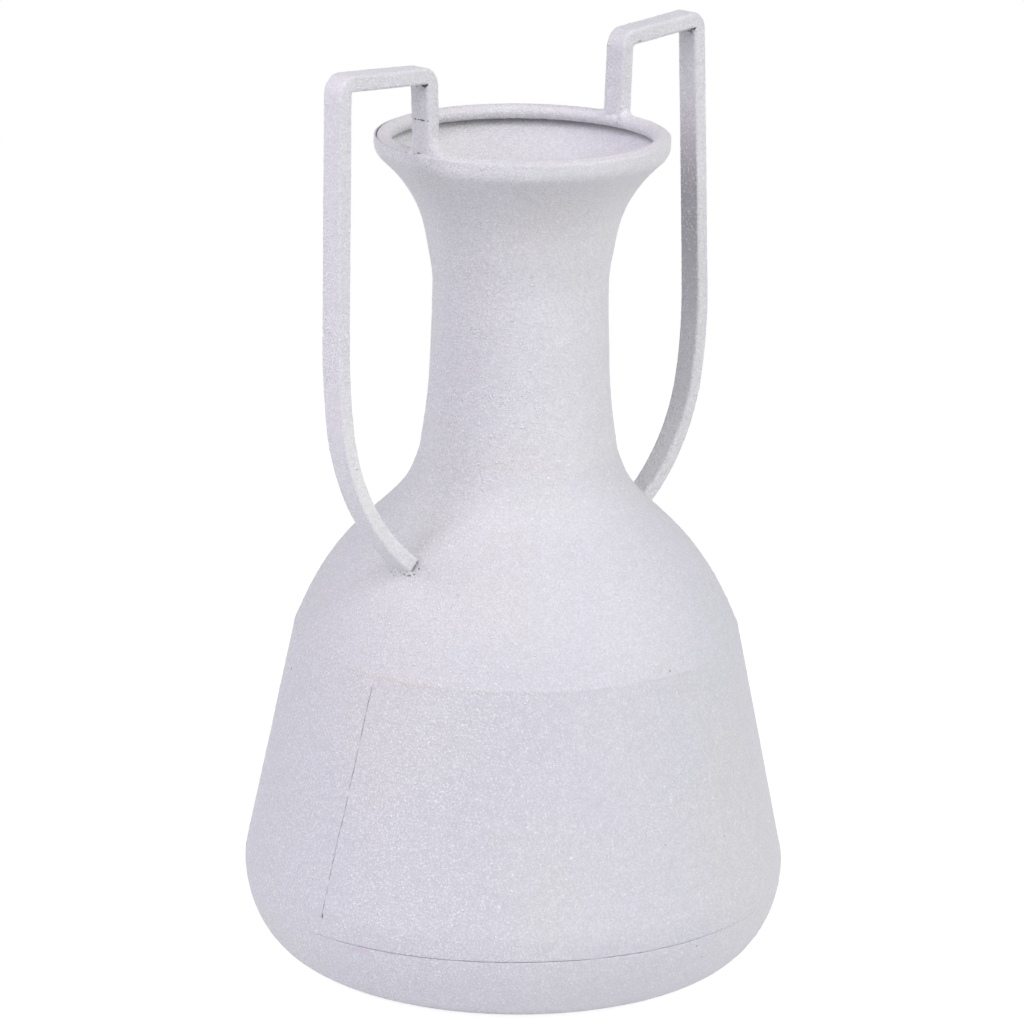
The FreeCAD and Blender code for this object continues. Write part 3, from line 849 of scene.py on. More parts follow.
@dataclass(frozen=True)
class SheetBody:
    """Base dish, rolled skirt, spun dome, neck and trumpet, and the bead between skirt and dome."""

    sheet: float = 0.8
    lap_length: float = 5.0
    lap_clearance: float = 0.1
    joggle_length: float = 3.0
    floor_radius: float = 102.6
    widest_radius: float = 135.0
    widest_height: float = 45.6
    widest_bend_radius: float = 25.0
    low_seam_radius: float = 134.0
    low_seam_drop: float = 8.6
    low_seam_crack: float = 0.42
    low_seam_crack_fade: float = 2.0
    low_seam_rises: Knots = (
        (164.4, -2.1), (184.4, -1.3), (205.4, -0.4), (219.4, 0.3), (232.4, 0.6), (248.4, 0.4),
        (264.4, 0.5), (284.4, 1.1), (344.0, 0.9), (404.0, -0.6), (464.0, -2.2),
    )
    low_seam_blur: float = 7.0
    low_seam_wobble: Wobble = Wobble(0.10, 7.0)
    low_seam_reach: float = 14.0
    low_seam_openings: Knots = (
        (160, 0), (172, 0.05), (178, 0.35), (184, 0.8), (190, 1), (238, 1), (240.6, 0.3), (243, 1),
        (262, 0.9), (270, 0.6), (290, 0.2), (310, 0.5), (400, 0.7), (500, 0.4),
    )
    low_seam_breaks: Wobble = Wobble(0.5, 5.0, mean=1.0)
    skirt_mean_radius: float = 122.0
    butt_seam_line: Knots = (
        (44.8, 180.0), (64.6, 180.6), (83.3, 181.3), (100.6, 182.2), (116.8, 182.9),
        (132.4, 183.7), (146.0, 184.3), (159.9, 185.1),
    )
    butt_seam_wobble: Wobble = Wobble(0.10, 9.0)
    butt_seam_breaks: Wobble = Wobble(1.3, 5.0, mean=0.75, finer=Wobble(0.4, 1.7))
    butt_seam_least: float = 0.15
    butt_seam_ends: Knots = ((44.5, 0.0), (45.5, 1.0), (159.0, 1.0), (161.5, 0.0))
    butt_seam_bridges: Knots = (
        (53.5, 1), (55.0, 0.3), (57.5, 0.3), (59.0, 1), (128.0, 1), (130.5, 0.3), (133.0, 1)
    )
    butt_seam_width: float = 0.30
    butt_seam_depth: float = 0.75
    butt_seam_bare: float = 0.6
    butt_side_rise: float = 0.06
    butt_side_offset: float = 0.8
    butt_side_width: float = 0.4
    pinhole_height: float = 46.3
    pinhole_length: float = 1.1
    pinhole_width: float = 0.55
    butt_seam_columns: tuple[float, ...] = (0.09, 0.2, 0.34, 0.6, 1.0, 1.6, 2.4)
    shoulder_radius: float = 110.6
    shoulder_height: float = 166.4
    dome_rise: float = 90.2
    neck_foot_radius: float = 49.0
    neck_rise: float = 90.4
    waist_radius: float = 43.1
    flare_rise: float = 57.8
    lip_radius: float = 72.1
    lip_bend_radius: float = 8.0
    lip_bend_turn: float = 46.0
    lip_upright: float = 4.0
    dome_shares: Knots = (
        (1 / 6, 0.109), (2 / 6, 0.248), (3 / 6, 0.437), (4 / 6, 0.685), (5 / 6, 0.8985)
    )
    neck_shares: Knots = ((1 / 5, 0.458), (2 / 5, 0.759), (3 / 5, 0.881), (4 / 5, 0.964))
    flare_shares: Knots = ((0.2, 0.087), (0.4, 0.17), (0.6, 0.325), (0.75, 0.515), (0.88, 0.738))
    waist_hollow: float = 0.0071
    waist_hollow_reach: float = 8.0
    waist_groove: float = 0.03
    waist_groove_width: float = 1.6
    tool_rings: Wobble = Wobble(0.030, 3.4)
    tool_ring_squeeze: float = 0.12
    rolled_ring_share: float = 0.3
    floor_fade: float = 4.0
    inner_relief: float = -0.5
    # Painted shade inside the trumpet's top, under the rod ring.
    ring_shade_height: float = 404.0
    ring_shade_fade: float = 3.0
    ring_shade_share: float = 0.4
    bead_width: Wobble = Wobble(0.5, 16.0, mean=1.5, finer=Wobble(0.2, 4.0))
    bead_crown: Wobble = Wobble(0.06, 22.0, mean=0.10)
    bead_grit: Wobble = Wobble(0.03, 3.0)
    bead_root: float = 0.35
    bead_sink: float = 0.03
    bead_columns: int = 20
    first_row: float = 1.5
    columns: int = 560
    skirt_columns: int = 640
    edge: float = 0.25
    lip_edge: float = 0.3
    relief: CoatRelief = CoatRelief()

    @property
    def neck_foot_height(self) -> float:
        """Height of the dome's top."""
        return self.shoulder_height + self.dome_rise

    @property
    def waist_height(self) -> float:
        """Height of the neck's top."""
        return self.neck_foot_height + self.neck_rise

    @property
    def lip_top(self) -> float:
        """Height of the lip's edge."""
        bend = self.lip_bend_radius * math.sin(math.radians(self.lip_bend_turn))
        return self.waist_height + self.flare_rise + bend + self.lip_upright

    def upper_line(self) -> Array:
        """Close points of the dome, the neck, the trumpet and the lip."""
        turn = math.radians(self.lip_bend_turn)
        shoulder = np.array([self.shoulder_radius, self.shoulder_height])
        foot = np.array([self.neck_foot_radius, self.neck_foot_height])
        waist = np.array([self.waist_radius, self.waist_height])
        edge_radius = self.lip_radius - self.lip_bend_radius * (1 - math.cos(turn))
        edge = np.array([edge_radius, self.waist_height + self.flare_rise])
        flare = by_shares(waist, edge, self.flare_shares)
        first = (flare[1] - flare[0]) / np.linalg.norm(flare[1] - flare[0])
        bend_top = np.array([self.lip_radius, self.lip_top - self.lip_upright])
        bend_centre = bend_top - np.array([self.lip_bend_radius, 0])
        return np.concatenate(
            [
                spline(by_shares(shoulder, foot, self.dome_shares)),
                spline(by_shares(foot, waist, self.neck_shares)),
                spline(flare, first, np.array([math.sin(turn), math.cos(turn)])),
                arc(bend_centre, self.lip_bend_radius, -self.lip_bend_turn, 0, 40),
                np.linspace(bend_top, [self.lip_radius, self.lip_top], 20),
            ]
        )

    def line(self) -> SectionLine:
        """Outer line of the whole body, from the middle of the floor to the lip."""
        quarter = np.radians(np.linspace(0, 90, 300))
        reach = self.widest_radius - self.floor_radius
        dish_radius = self.floor_radius + reach * np.sin(quarter)
        dish = np.stack([dish_radius, self.widest_height * (1 - np.cos(quarter))], axis=1)
        centre = np.array([self.widest_radius - self.widest_bend_radius, self.widest_height])
        shoulder = np.array([self.shoulder_radius, self.shoulder_height])
        away = shoulder - centre
        turn = math.atan2(away[1], away[0]) - math.acos(
            self.widest_bend_radius / float(np.linalg.norm(away))
        )
        bend = arc(centre, self.widest_bend_radius, 0, math.degrees(turn), 30)
        floor = np.stack([np.linspace(0, self.floor_radius, 200), np.zeros(200)], axis=1)
        side = np.linspace(bend[-1], shoulder, 500)
        return SectionLine(np.concatenate([floor, dish, bend, side, self.upper_line()]))

    def low_seam_rise(self, angle: Array) -> Array:
        """How far the low seam lies above its mean height at angles about the axis."""
        total = np.zeros_like(angle)
        for offset in (-self.low_seam_blur, 0.0, self.low_seam_blur):
            total += round_axis(angle + offset, self.low_seam_rises) / 3
        return total + self.low_seam_wobble.at(around(self.low_seam_radius, 0.0, angle))

    def follow_low_seam(self, along: Array, seam: float, angle: Array) -> Array:
        """How far rows near the low seam move along the wall so that they follow it."""
        near = np.clip(1 - np.abs(along - seam) / self.low_seam_reach, 0, 1)
        return self.low_seam_rise(angle) * near * near * (3 - 2 * near)

    def low_seam_open(self, angle: Array) -> Array:
        """Share to which the low seam is cracked open at angles about the axis."""
        elsewhere = around(self.low_seam_radius, 9.0, angle)
        steady = round_axis(angle, self.low_seam_openings)
        return np.clip(steady * self.low_seam_breaks.at(elsewhere), 0, 1)

    def butt_seam_angle(self, height: Array) -> Array:
        """Angle of the skirt's butt seam at heights."""
        walk = np.stack([0 * height, 0 * height + 3, height], axis=-1)
        return between(height, self.butt_seam_line) + self.butt_seam_wobble.at(walk)

    def butt_seam(self, height: Array, offset: Array) -> tuple[Array, Array]:
        """Butt seam of the skirt: a broken crack with raised sides and a pinhole at its foot.

        Args:
            height: heights.
            offset: distances to the seam, round the skirt.

        Returns:
            Depth of the surface, negative on the raised sides, and its bare share.
        """
        walk = np.stack([0 * height, 0 * height, height], axis=-1)
        opening = np.clip(self.butt_seam_breaks.at(walk), self.butt_seam_least, 1.0)
        ends = between(height, self.butt_seam_ends)
        aside = np.abs(offset)
        crack = np.clip(1 - aside / self.butt_seam_width, 0, 1) * opening * ends
        crack = crack * between(height, self.butt_seam_bridges)
        pinhole = bell(height - self.pinhole_height, self.pinhole_length, power=4)
        pinhole = pinhole * bell(offset, self.pinhole_width, power=4)
        sides = bell(aside - self.butt_side_offset, self.butt_side_width) * ends
        depth = self.butt_seam_depth * np.maximum(crack, pinhole) - self.butt_side_rise * sides
        return depth, np.maximum(self.butt_seam_bare * crack, pinhole)

    def rise_at(self, places: Array) -> Array:
        """Rise of the body's outer surface at places, with tool rings and the hollow waist."""
        height = places[..., 2]
        squeeze = np.array([self.tool_ring_squeeze, self.tool_ring_squeeze, 1.0])
        rolled = (height < self.shoulder_height) & (height > self.widest_height)
        rings = self.tool_rings.at(places * squeeze) * np.where(rolled, self.rolled_ring_share, 1.0)
        from_waist = np.abs(height - self.waist_height)
        hollow = self.waist_hollow * np.clip(self.waist_hollow_reach - from_waist, 0, None) ** 2
        groove = self.waist_groove * bell(from_waist, self.waist_groove_width)
        rise = self.relief.at(places) + rings + hollow - groove
        return rise * np.clip(height / self.floor_fade, 0, 1)

    def outline(
        self,
        start: float,
        end: float,
        row: float,
        inner_row: float,
        low: float = 0.0,
        high: float = 0.0,
        spigot: bool = True,
    ) -> tuple[Array, int]:
        """Outline of a piece's sheet as lengths along the body's line and depths under it.

        Args:
            start: length at its lower edge.
            end: length at its upper edge.
            row: spacing of its outer rows.
            inner_row: spacing of its inner rows.
            low: rounding of its lower outer edge.
            high: rounding of its upper outer edge.
            spigot: whether its top steps inwards into the piece above.

        Returns:
            The outline, and the number of its outer points.
        """
        corner = [(1 - math.cos(a), 1 - math.sin(a)) for a in np.radians([0, 30, 60])]
        count = max(4, int((end - start - low - high) / row))
        points = [(start + low * x, low * y) for x, y in corner if low]
        points += [(x, 0.0) for x in np.linspace(start + low, end - high, count)]
        points += [(end - high * x, high * y) for x, y in corner[::-1] if high]
        outer = len(points)
        near = self.sheet + self.lap_clearance
        far = near + self.sheet
        inner_end = end
        if spigot:
            lap = end + self.lap_length
            points += [(end, near), (lap, near), (lap, far), (end, far)]
            inner_end = end - self.joggle_length
        inner_count = max(3, int((inner_end - start) / inner_row))
        points += [(x, self.sheet) for x in np.linspace(inner_end, start, inner_count)]
        return np.array(points), outer

    def wall(
        self,
        name: str,
        line: SectionLine,
        outline: tuple[Array, int],
        materials: list[Material],
        seam: float | None = None,
        butt_seam: bool = False,
        pole: bool = False,
    ) -> Piece:
        """Turned sheet over an outline, with its relief.

        Args:
            name: name of the piece.
            line: outer line of the body.
            outline: outline of its sheet, and the number of its outer points.
            materials: coat of the outside and of the inside.
            seam: length along the line at the low seam, where the piece has it.
            butt_seam: whether the slanting butt seam runs up the piece.
            pole: whether the outline starts and ends at the axis.

        Returns:
            The piece.
        """
        points, outer = outline
        along, depth = points[:, :1], points[:, 1:]
        offsets = np.linspace(0, 360, self.columns, endpoint=False)
        base = np.zeros_like(along)
        if butt_seam:
            fine = np.degrees(np.array(self.butt_seam_columns) / self.skirt_mean_radius)
            wide = np.linspace(fine[-1], 360 - fine[-1], self.skirt_columns)
            offsets = np.concatenate([[0.0], fine[:-1], wide, 360 - fine[:-1][::-1]])
            base = self.butt_seam_angle(line.at(along, 0 * along)[1])
        angle = base + offsets[None, :]
        along, depth = along + 0 * angle, depth + 0 * angle
        bare_and_shade = np.zeros_like(along)
        if seam is not None:
            opened = self.low_seam_open(angle)
            depth = np.where(depth < self.sheet - SAME_DEPTH, depth * opened, depth)
            if points[0, 0] > seam:
                past = along - seam - self.low_seam_crack
                near = np.clip(1 - past / self.low_seam_crack_fade, 0, 1)
                along = along - self.low_seam_crack * (1 - opened) * near
            along = along + self.follow_low_seam(along, seam, angle)
        radius, height = line.at(along, depth)
        rise = self.rise_at(around(radius, height, angle))
        if butt_seam:
            aside = np.radians((angle - base + 180) % 360 - 180) * radius
            sunk, crack = self.butt_seam(height, aside)
            rise[:outer] -= sunk[:outer]
            bare_and_shade[:outer] = crack[:outer]
        # Painted shade: inner rows near the lip, under the rod ring, are painted dark.
        under_ring_shade = np.clip((height[outer:] - self.ring_shade_height) / self.ring_shade_fade, 0, 1)
        bare_and_shade[outer:] = self.ring_shade_share * under_ring_shade
        rise[outer:] *= self.inner_relief
        rise = np.where(depth > self.sheet + SAME_DEPTH, 0.0, rise)
        rows = around(*line.at(along, depth - rise), angle)
        grid = Grid(rows, closed_rows=not pole, capped=pole, inside_from=outer, bare_and_shade=bare_and_shade)
        return solid(name, [grid], materials)

    def shoulder_bead(self, line: SectionLine, material: Material) -> Piece:
        """Ground bead over the shoulder seam: a low ridge of uneven width.

        Args:
            line: outer line of the body.
            material: its coat.

        Returns:
            The piece.
        """
        angle = np.linspace(0, 360, self.columns, endpoint=False)[None, :]
        walk = around(self.shoulder_radius, 0.0, angle)
        elsewhere = walk + 50.0
        crown = self.bead_crown.at(elsewhere) + self.bead_grit.at(walk)
        turn = np.radians(np.linspace(180, -180, self.bead_columns, endpoint=False))[:, None]
        along = line.along_at(self.shoulder_height) + self.bead_width.at(walk) * np.cos(turn)
        up = np.sin(turn)
        rise = np.where(up > 0, crown * up, self.bead_root * up) - self.bead_sink
        skin = around(*line.at(along, 0 * along), angle)
        rise = rise + np.where(up > 0, self.rise_at(skin), 0.0)
        rows = around(*line.at(along, -rise), angle)
        return solid("shoulder_seam", [Grid(rows, closed_rows=True, capped=False)], [material])

    def build(self, coats: Materials) -> None:
        """Builds and fits the sheet pieces and the shoulder bead.

        Args:
            coats: material of each piece by its name, and that of the inside.
        """
        line = self.line()
        low_seam = line.along_at(self.widest_height - self.low_seam_drop)
        above_crack = low_seam + self.low_seam_crack
        shoulder = line.along_at(self.shoulder_height)
        neck_foot = line.along_at(self.neck_foot_height)
        waist = line.along_at(self.waist_height)
        lip = float(line.along[-1])
        pan = self.outline(self.first_row, low_seam, row=1.4, inner_row=5.0, high=self.edge)
        skirt = self.outline(above_crack, shoulder, row=1.0, inner_row=9.0, low=self.edge)
        dome = self.outline(shoulder, neck_foot, row=0.95, inner_row=4.0)
        neck = self.outline(neck_foot, waist, row=0.72, inner_row=2.5)
        flare = self.outline(waist, lip, row=0.85, inner_row=1.5, high=self.lip_edge, spigot=False)
        for name, node, outline, lining, extra in (
            ("base_dish", "base_pan", pan, "inside", {"seam": low_seam, "pole": True}),
            ("rolled_skirt", "body_skirt", skirt, "inside", {"seam": low_seam, "butt_seam": True}),
            ("spun_dome", "shoulder_dome", dome, "inside", {}),
            ("spun_neck", "neck_tube", neck, "spun_neck", {}),
            ("trumpet_mouth", "mouth_flare", flare, "trumpet_mouth", {}),
        ):
            wall = self.wall(name, line, outline, [coats[name], coats[lining]], **extra)
            fit(wall, node)
        fit(self.shoulder_bead(line, coats["shoulder_seam"]), "shoulder_seam_weld")


# The rim


@dataclass(frozen=True)
class Rim:
    """Rod ring in the lip and the bead that closes most of the groove between them."""

    sheet: float
    lip_radius: float
    lip_top: float
    rod_radius: float = 3.75
    stands_out: float = 1.5
    clearance: float = 0.15
    rod_columns: int = 44
    seat_from: float = 0.75
    seat_relief: float = 0.2
    # Painted shade on the rod's underside, towards the inside.
    underside_shade_angle: float = 256.0
    underside_shade_width: float = 16.0
    underside_shade_specks: Wobble = Wobble(1.2, 2.4, mean=0.9)
    bead_angle: float = 62.0
    bead_leave: float = 1.2
    bead_bulge: float = 1.9
    bead_overlap: float = 0.06
    bead_drop: float = 1.1
    bead_root: Knots = ((0.3, 1.3), (1.0, 1.5))
    bead_rows: int = 470
    bead_fade: float = 6.0
    bead_sink: float = 1.6
    bead_pull: float = 0.5
    bead_lean: float = 0.5
    bead_wobble: Wobble = Wobble(0.10, 5.0, finer=Wobble(0.08, 1.9))
    bead_swell: Wobble = Wobble(0.05, 3.0, mean=1.0)
    crack_start: float = 98.0
    crack_end: float = 174.0
    line_foot: float = 402.0
    line_drop: float = 1.2
    line_end_angle: float = 250.0
    columns: int = 560
    relief: CoatRelief = CoatRelief(clots=0.10)

    @property
    def top(self) -> float:
        """Height of the rod's top."""
        return self.lip_top + self.stands_out

    @property
    def height(self) -> float:
        """Height of the rod's centre."""
        return self.top - self.rod_radius

    @property
    def radius(self) -> float:
        """Radius of the rod's centre line."""
        return self.lip_radius - self.sheet - self.clearance - self.rod_radius

    def bead_crown(self) -> Array:
        """Bead's top from the rod over the lip's edge, as (radius, height)."""
        turn = math.radians(self.bead_angle)
        centre = np.array([self.radius, self.height])
        start = centre + self.rod_radius * np.array([math.cos(turn), math.sin(turn)])
        end = np.array([self.lip_radius + self.bead_overlap, self.lip_top - self.bead_drop])
        leave = start + self.bead_leave * np.array([math.sin(turn), -math.cos(turn)])
        over = end + np.array([0.0, self.bead_bulge])
        t = np.linspace(0, 1, 14)[:, None]
        u = 1 - t
        return u**3 * start + 3 * u**2 * t * leave + 3 * u * t**2 * over + t**3 * end

    def line(self) -> SectionLine:
        """Outer line of the rim from under the lip's edge over the rod to its inner side."""
        centre = np.array([self.radius, self.height])
        lip_end = self.lip_top - self.line_drop
        lip = np.linspace([self.lip_radius, self.line_foot], [self.lip_radius, lip_end], 30)
        rod = arc(centre, self.rod_radius, self.bead_angle, self.line_end_angle, 80)
        return SectionLine(np.concatenate([lip, self.bead_crown()[::-1], rod]))

    def ring(self, material: Material) -> Piece:
        """Rod ring, slightly wavy, with painted shade on its underside.

        Args:
            material: its coat.

        Returns:
            The piece.
        """
        angle = np.linspace(0, 360, self.columns, endpoint=False)[None, :]
        turn = np.radians(np.linspace(0, 360, self.rod_columns, endpoint=False))[:, None]
        out, up = np.cos(turn), np.sin(turn)
        plain = self.rod_radius
        skin = around(self.radius + plain * out, self.height + plain * up, angle)
        share = np.where(out > self.seat_from, self.seat_relief, 1.0)
        thick = self.rod_radius + self.relief.at(skin) * share
        rows = around(self.radius + thick * out, self.height + thick * up, angle)
        # Painted shade on the rod's underside, towards the inside, broken into specks.
        under = bell(np.degrees(turn) - self.underside_shade_angle, self.underside_shade_width, power=4)
        bare_and_shade = under * self.underside_shade_specks.share(skin)
        grid = Grid(rows, closed_rows=True, capped=False, bare_and_shade=bare_and_shade)
        return solid("rod_ring", [grid], [material])

    def bead(self, material: Material) -> Piece:
        """Bead in the groove, sunk and frayed at both ends of its stretch.

        Args:
            material: its coat.

        Returns:
            The piece.
        """
        first, last = self.crack_end, self.crack_start + 360
        angle = np.linspace(first, last, self.bead_rows)[:, None]
        crown = self.bead_crown()
        root = np.array([self.lip_radius, self.lip_top]) - np.array(self.bead_root)
        section = np.concatenate([crown, root])
        middle = section.mean(axis=0)
        fade = np.clip(np.minimum(angle - first, last - angle) / self.bead_fade, 0, 1)
        walk = around(self.lip_radius, self.lip_top, angle)
        sink = (1 - fade) * self.bead_sink + self.bead_wobble.at(walk)
        placed = middle + (section[None] - middle) * self.bead_swell.at(walk)[..., None]
        radius = placed[..., 0] - self.bead_pull * (1 - fade)
        skin = around(radius, placed[..., 1], angle)
        top = (np.arange(len(section)) < len(crown))[None, :]
        lift = np.where(top, self.relief.at(skin), 0.0)
        rows = around(radius + self.bead_lean * lift, placed[..., 1] - sink * top + lift, angle)
        return solid("rim_bead", [Grid(rows)], [material])

    def build(self, coats: Materials) -> None:
        """Builds and fits the ring and its bead.

        Args:
            coats: material of each piece by its name.
        """
        fit(self.ring(coats["rod_ring"]), "rim_ring")
        fit(self.bead(coats["rim_bead"]), "rim_bead_weld")


# The handles


def heading_way(heading: Array) -> Array:
    """Directions in the handle's plane, where 0 is up, 90 outwards and 180 down."""
    turn = np.radians(heading)
    return np.stack([np.sin(turn), np.cos(turn)], axis=-1)


class BarPath:
    """Centre line of a bar in its plane, laid as straight runs and tangent bends."""

    def __init__(self, start: Array, heading: float) -> None:
        """Starts the path.

        Args:
            start: (reach, height) of its start.
            heading: its first heading.
        """
        self.places = [start]
        self.headings = [heading]
        self.pinches = [0.0]

    def run(self, length: float) -> None:
        """Lays a straight run."""
        start, way = self.places[-1], heading_way(np.array(self.headings[-1]))
        for step in np.linspace(0, length, max(3, int(length / BAR_STEP)))[1:]:
            self.places.append(start + way * step)
            self.headings.append(self.headings[-1])
            self.pinches.append(0.0)

    def bend(self, radius: float, turn: float, rows: int, pinch: float = 0.0) -> None:
        """Lays a bend towards larger headings.

        Args:
            radius: of the centre line.
            turn: in degrees.
            rows: number of its rows.
            pinch: how strongly the bar's section is upset in it.
        """
        start = self.headings[-1]
        centre = self.places[-1] + heading_way(np.array(start + 90)) * radius
        for share in np.linspace(0, 1, rows + 1)[1:]:
            heading = start + turn * share
            self.places.append(centre - heading_way(np.array(heading + 90)) * radius)
            self.headings.append(heading)
            self.pinches.append(pinch * math.sin(math.pi * share))


def bar_section(thickness: float, width: float, edge: float) -> Array:
    """Rounded outline of the flat bar, anticlockwise, as (across, sideways)."""
    corners = []
    for sign_a, sign_y, first in ((1, -1, -90), (1, 1, 0), (-1, 1, 90), (-1, -1, 180)):
        middle = np.array([sign_a * (thickness / 2 - edge), sign_y * (width / 2 - edge)])
        corners.append(arc(middle, edge, first, first + 90, 6))
    points = []
    for corner, following in zip(corners, corners[1:] + corners[:1]):
        points += [*corner, *np.linspace(corner[-1], following[0], 16)[1:-1]]
    return np.array(points)


@dataclass(frozen=True)
class WeldLump:
    """Lens-shaped lump of weld that ran from a fillet along the rim."""

    turn: float
    reach: float
    half_reach: float
    half_turn: float
    height: float
    rim_radius: float = 72.0
    middle: float = 0.05
    upper_rows: int = 12
    lower_rows: int = 5
    columns: int = 40
    wobble: Wobble = Wobble(0.22, 2.4, mean=1.0)
    foot: float = 0.05
    coat: float = 0.6
    root: float = 0.4

    def grid(self, line: SectionLine, along: float, angle: float, relief: CoatRelief) -> Grid:
        """Lump on a section line.

        Args:
            line: the line that it lies on.
            along: length along the line at its middle.
            angle: angle about the axis at its middle.
            relief: relief of its coat.

        Returns:
            The lump.
        """
        upper = np.linspace(self.middle, 1.0, self.upper_rows)
        lower = np.linspace(1.0, self.middle, self.lower_rows)
        ring = np.concatenate([upper, lower])[:, None]
        turn = np.radians(np.linspace(0, 360, self.columns, endpoint=False))[None, :]
        reach = along + self.half_reach * ring * np.cos(turn)
        swing = angle + np.degrees(self.half_turn / self.rim_radius) * ring * np.sin(turn)
        walk = around(*line.at(reach, 0 * reach), swing)
        crest = np.sqrt(np.clip(1 - ring**2, 0, 1)) * self.height * self.wobble.at(walk)
        crest = crest + self.foot + self.coat * relief.at(walk)
        crest[self.upper_rows :] = -self.root
        return Grid(around(*line.at(reach, -crest), swing))


@dataclass(frozen=True)
class RimWeld:
    """Hollow fillet between a stub and the rim, with the lumps beside it."""

    length: float
    height: float
    lumps: tuple[WeldLump, ...] = ()
    reach: float = 5.2
    taper: float = 0.35
    hollow: float = 3.4
    under_stub: tuple[float, ...] = (-0.35, -0.12)
    overlap: float = 0.4
    rows: int = 24
    columns: int = 30
    wobble: Wobble = Wobble(0.10, 2.2, mean=1.0, finer=Wobble(0.10, 4.5))
    crown: float = 0.35
    coat: float = 0.8
    margin: float = 0.2
    spread: float = 2.0
    squareness: float = 3.5
    root: float = 0.5


@dataclass(frozen=True)
class Handle:
    """One bent bar handle with its stub and welds, laid on +X and turned to its side."""

    name: str
    side: Side
    stub_shift: float
    stub_lean: float
    stub_rise: float
    inner_corner_rise: float
    outer_corner_rise: float
    span: float
    leg_lean: float
    bow_rise: float
    bow_radius: float
    bow_turn: float
    curve_radius: float
    front_weld: RimWeld
    back_weld: RimWeld
    creases: tuple[float, float]
    foot_drift: float = 0.0
    drift_start: float = 330.0
    drift_fall: float = 118.0
    drift_most: float = 1.2
    drift_power: float = 1.5
    thickness: float = 8.0
    width: float = 12.0
    edge: float = 1.5
    bend_radius: float = 1.2
    bend_rows: int = 16
    upset: float = 0.035
    notch_width: float = 0.22
    notch_depth: float = 1.1
    notch_edge: float = 1.2
    # Painted shade along the inner corner of the most creased bend and in its notch, in specks.
    corner_shade_reach: float = 6.5
    corner_shade_breaks: Wobble = Wobble(3.0, 1.3, mean=-0.2)
    shade_breaks: Wobble = Wobble(1.6, 1.6, mean=0.9)
    saddle_depth: float = 1.6
    butt_line_height: float = 0.9
    butt_line_depth: float = 0.7
    butt_line_breaks: Wobble = Wobble(3.5, 1.5, mean=0.6)
    face_edge: float = 0.4
    foot_heading: float = 255.0
    foot_gap: float = 0.7
    tail_length: float = 14.0
    tail_rows: int = 22
    tail_shrink: tuple[float, ...] = (0.98, 0.93, 0.80)
    # Painted shade on the last rows of the bar's end, in the gap over the dome.
    tail_shade: tuple[float, ...] = (0.1, 0.2, 0.3, 0.5, 0.9, 1.5)
    foot_weld_radius: float = 2.0
    foot_weld_length: float = 8.0
    foot_weld_wobble: Wobble = Wobble(0.16, 3.0, mean=1.0, finer=Wobble(0.10, 1.5))
    relief: CoatRelief = CoatRelief(fine=0.07, clots=0.26, clot_size=1.9, wave=0.16, wave_size=30.0)

    def drift(self, height: Array) -> Array:
        """How far the lower curve has run out of the handle's plane at heights."""
        fallen = np.clip((self.drift_start - height) / self.drift_fall, 0, self.drift_most)
        return self.foot_drift * fallen**self.drift_power

    def to_side(self, reach: Array, sideways: Array, height: Array) -> Array:
        """Places on the handle's own side of the vase."""
        sign = math.cos(math.radians(self.side.value))
        sideways = sideways + self.drift(height)
        reach, sideways, height = np.broadcast_arrays(reach, sideways, height)
        return np.stack([reach * sign, sideways * sign, height], axis=-1)

    def swept(self, centre: Array, heading: Array, section: Array, push: Array) -> Array:
        """Rows of the section along a centre line.

        Args:
            centre: (reach, height) for each row, or for each place.
            heading: heading for each row, or for each place.
            section: (across, sideways) for each column, or for each place.
            push: how far each place is pushed along its outward side.

        Returns:
            Places, one row after another.
        """
        following = np.roll(section, -1, axis=-2) - np.roll(section, 1, axis=-2)
        size = np.linalg.norm(following, axis=-1, keepdims=True)
        outward = np.stack([following[..., 1], -following[..., 0]], axis=-1) / size
        moved = section + outward * np.asarray(push)[..., None]
        across = heading_way(heading + 90)
        reach = centre[..., 0] + across[..., 0] * moved[..., 0]
        height = centre[..., 1] + across[..., 1] * moved[..., 0]
        return self.to_side(reach, moved[..., 1], height)

    def path(self, rim: Rim, neck_foot: float) -> BarPath:
        """Centre line from the butt joint over both corners and down into the dome.

        Args:
            rim: the rim that the stub stands on.
            neck_foot: height of the neck's foot.

        Returns:
            The path.
        """
        foot = np.array([rim.radius + self.stub_shift, rim.top])
        up = heading_way(np.array(self.stub_lean))
        butt = foot + up * self.stub_rise
        inner_corner = foot + up * self.inner_corner_rise
        outer_corner = np.array([inner_corner[0] + self.span, rim.top + self.outer_corner_rise])
        along_top = outer_corner - inner_corner
        top_heading = math.degrees(math.atan2(along_top[0], along_top[1]))
        leg_heading = 180 - self.leg_lean
        radius = self.bend_radius + self.thickness / 2
        turns = (top_heading - self.stub_lean, leg_heading - top_heading)
        trims = [radius * math.tan(math.radians(turn / 2)) for turn in turns]
        line = BarPath(butt, self.stub_lean)
        lengths = (
            np.linalg.norm(inner_corner - butt) - trims[0],
            np.linalg.norm(along_top) - sum(trims),
        )
        for length, turn, crease in zip(lengths, turns, self.creases):
            line.run(float(length))
            line.bend(radius, turn, self.bend_rows, crease)
        drop = line.places[-1][1] - (neck_foot + self.bow_rise)
        line.run(drop / math.cos(math.radians(self.leg_lean)))
        for size, turn in (
            (self.bow_radius, self.bow_turn),
            (self.curve_radius, self.foot_heading - leg_heading - self.bow_turn),
        ):
            line.bend(size, turn, int(size * math.radians(turn) / BAR_STEP))
        return line

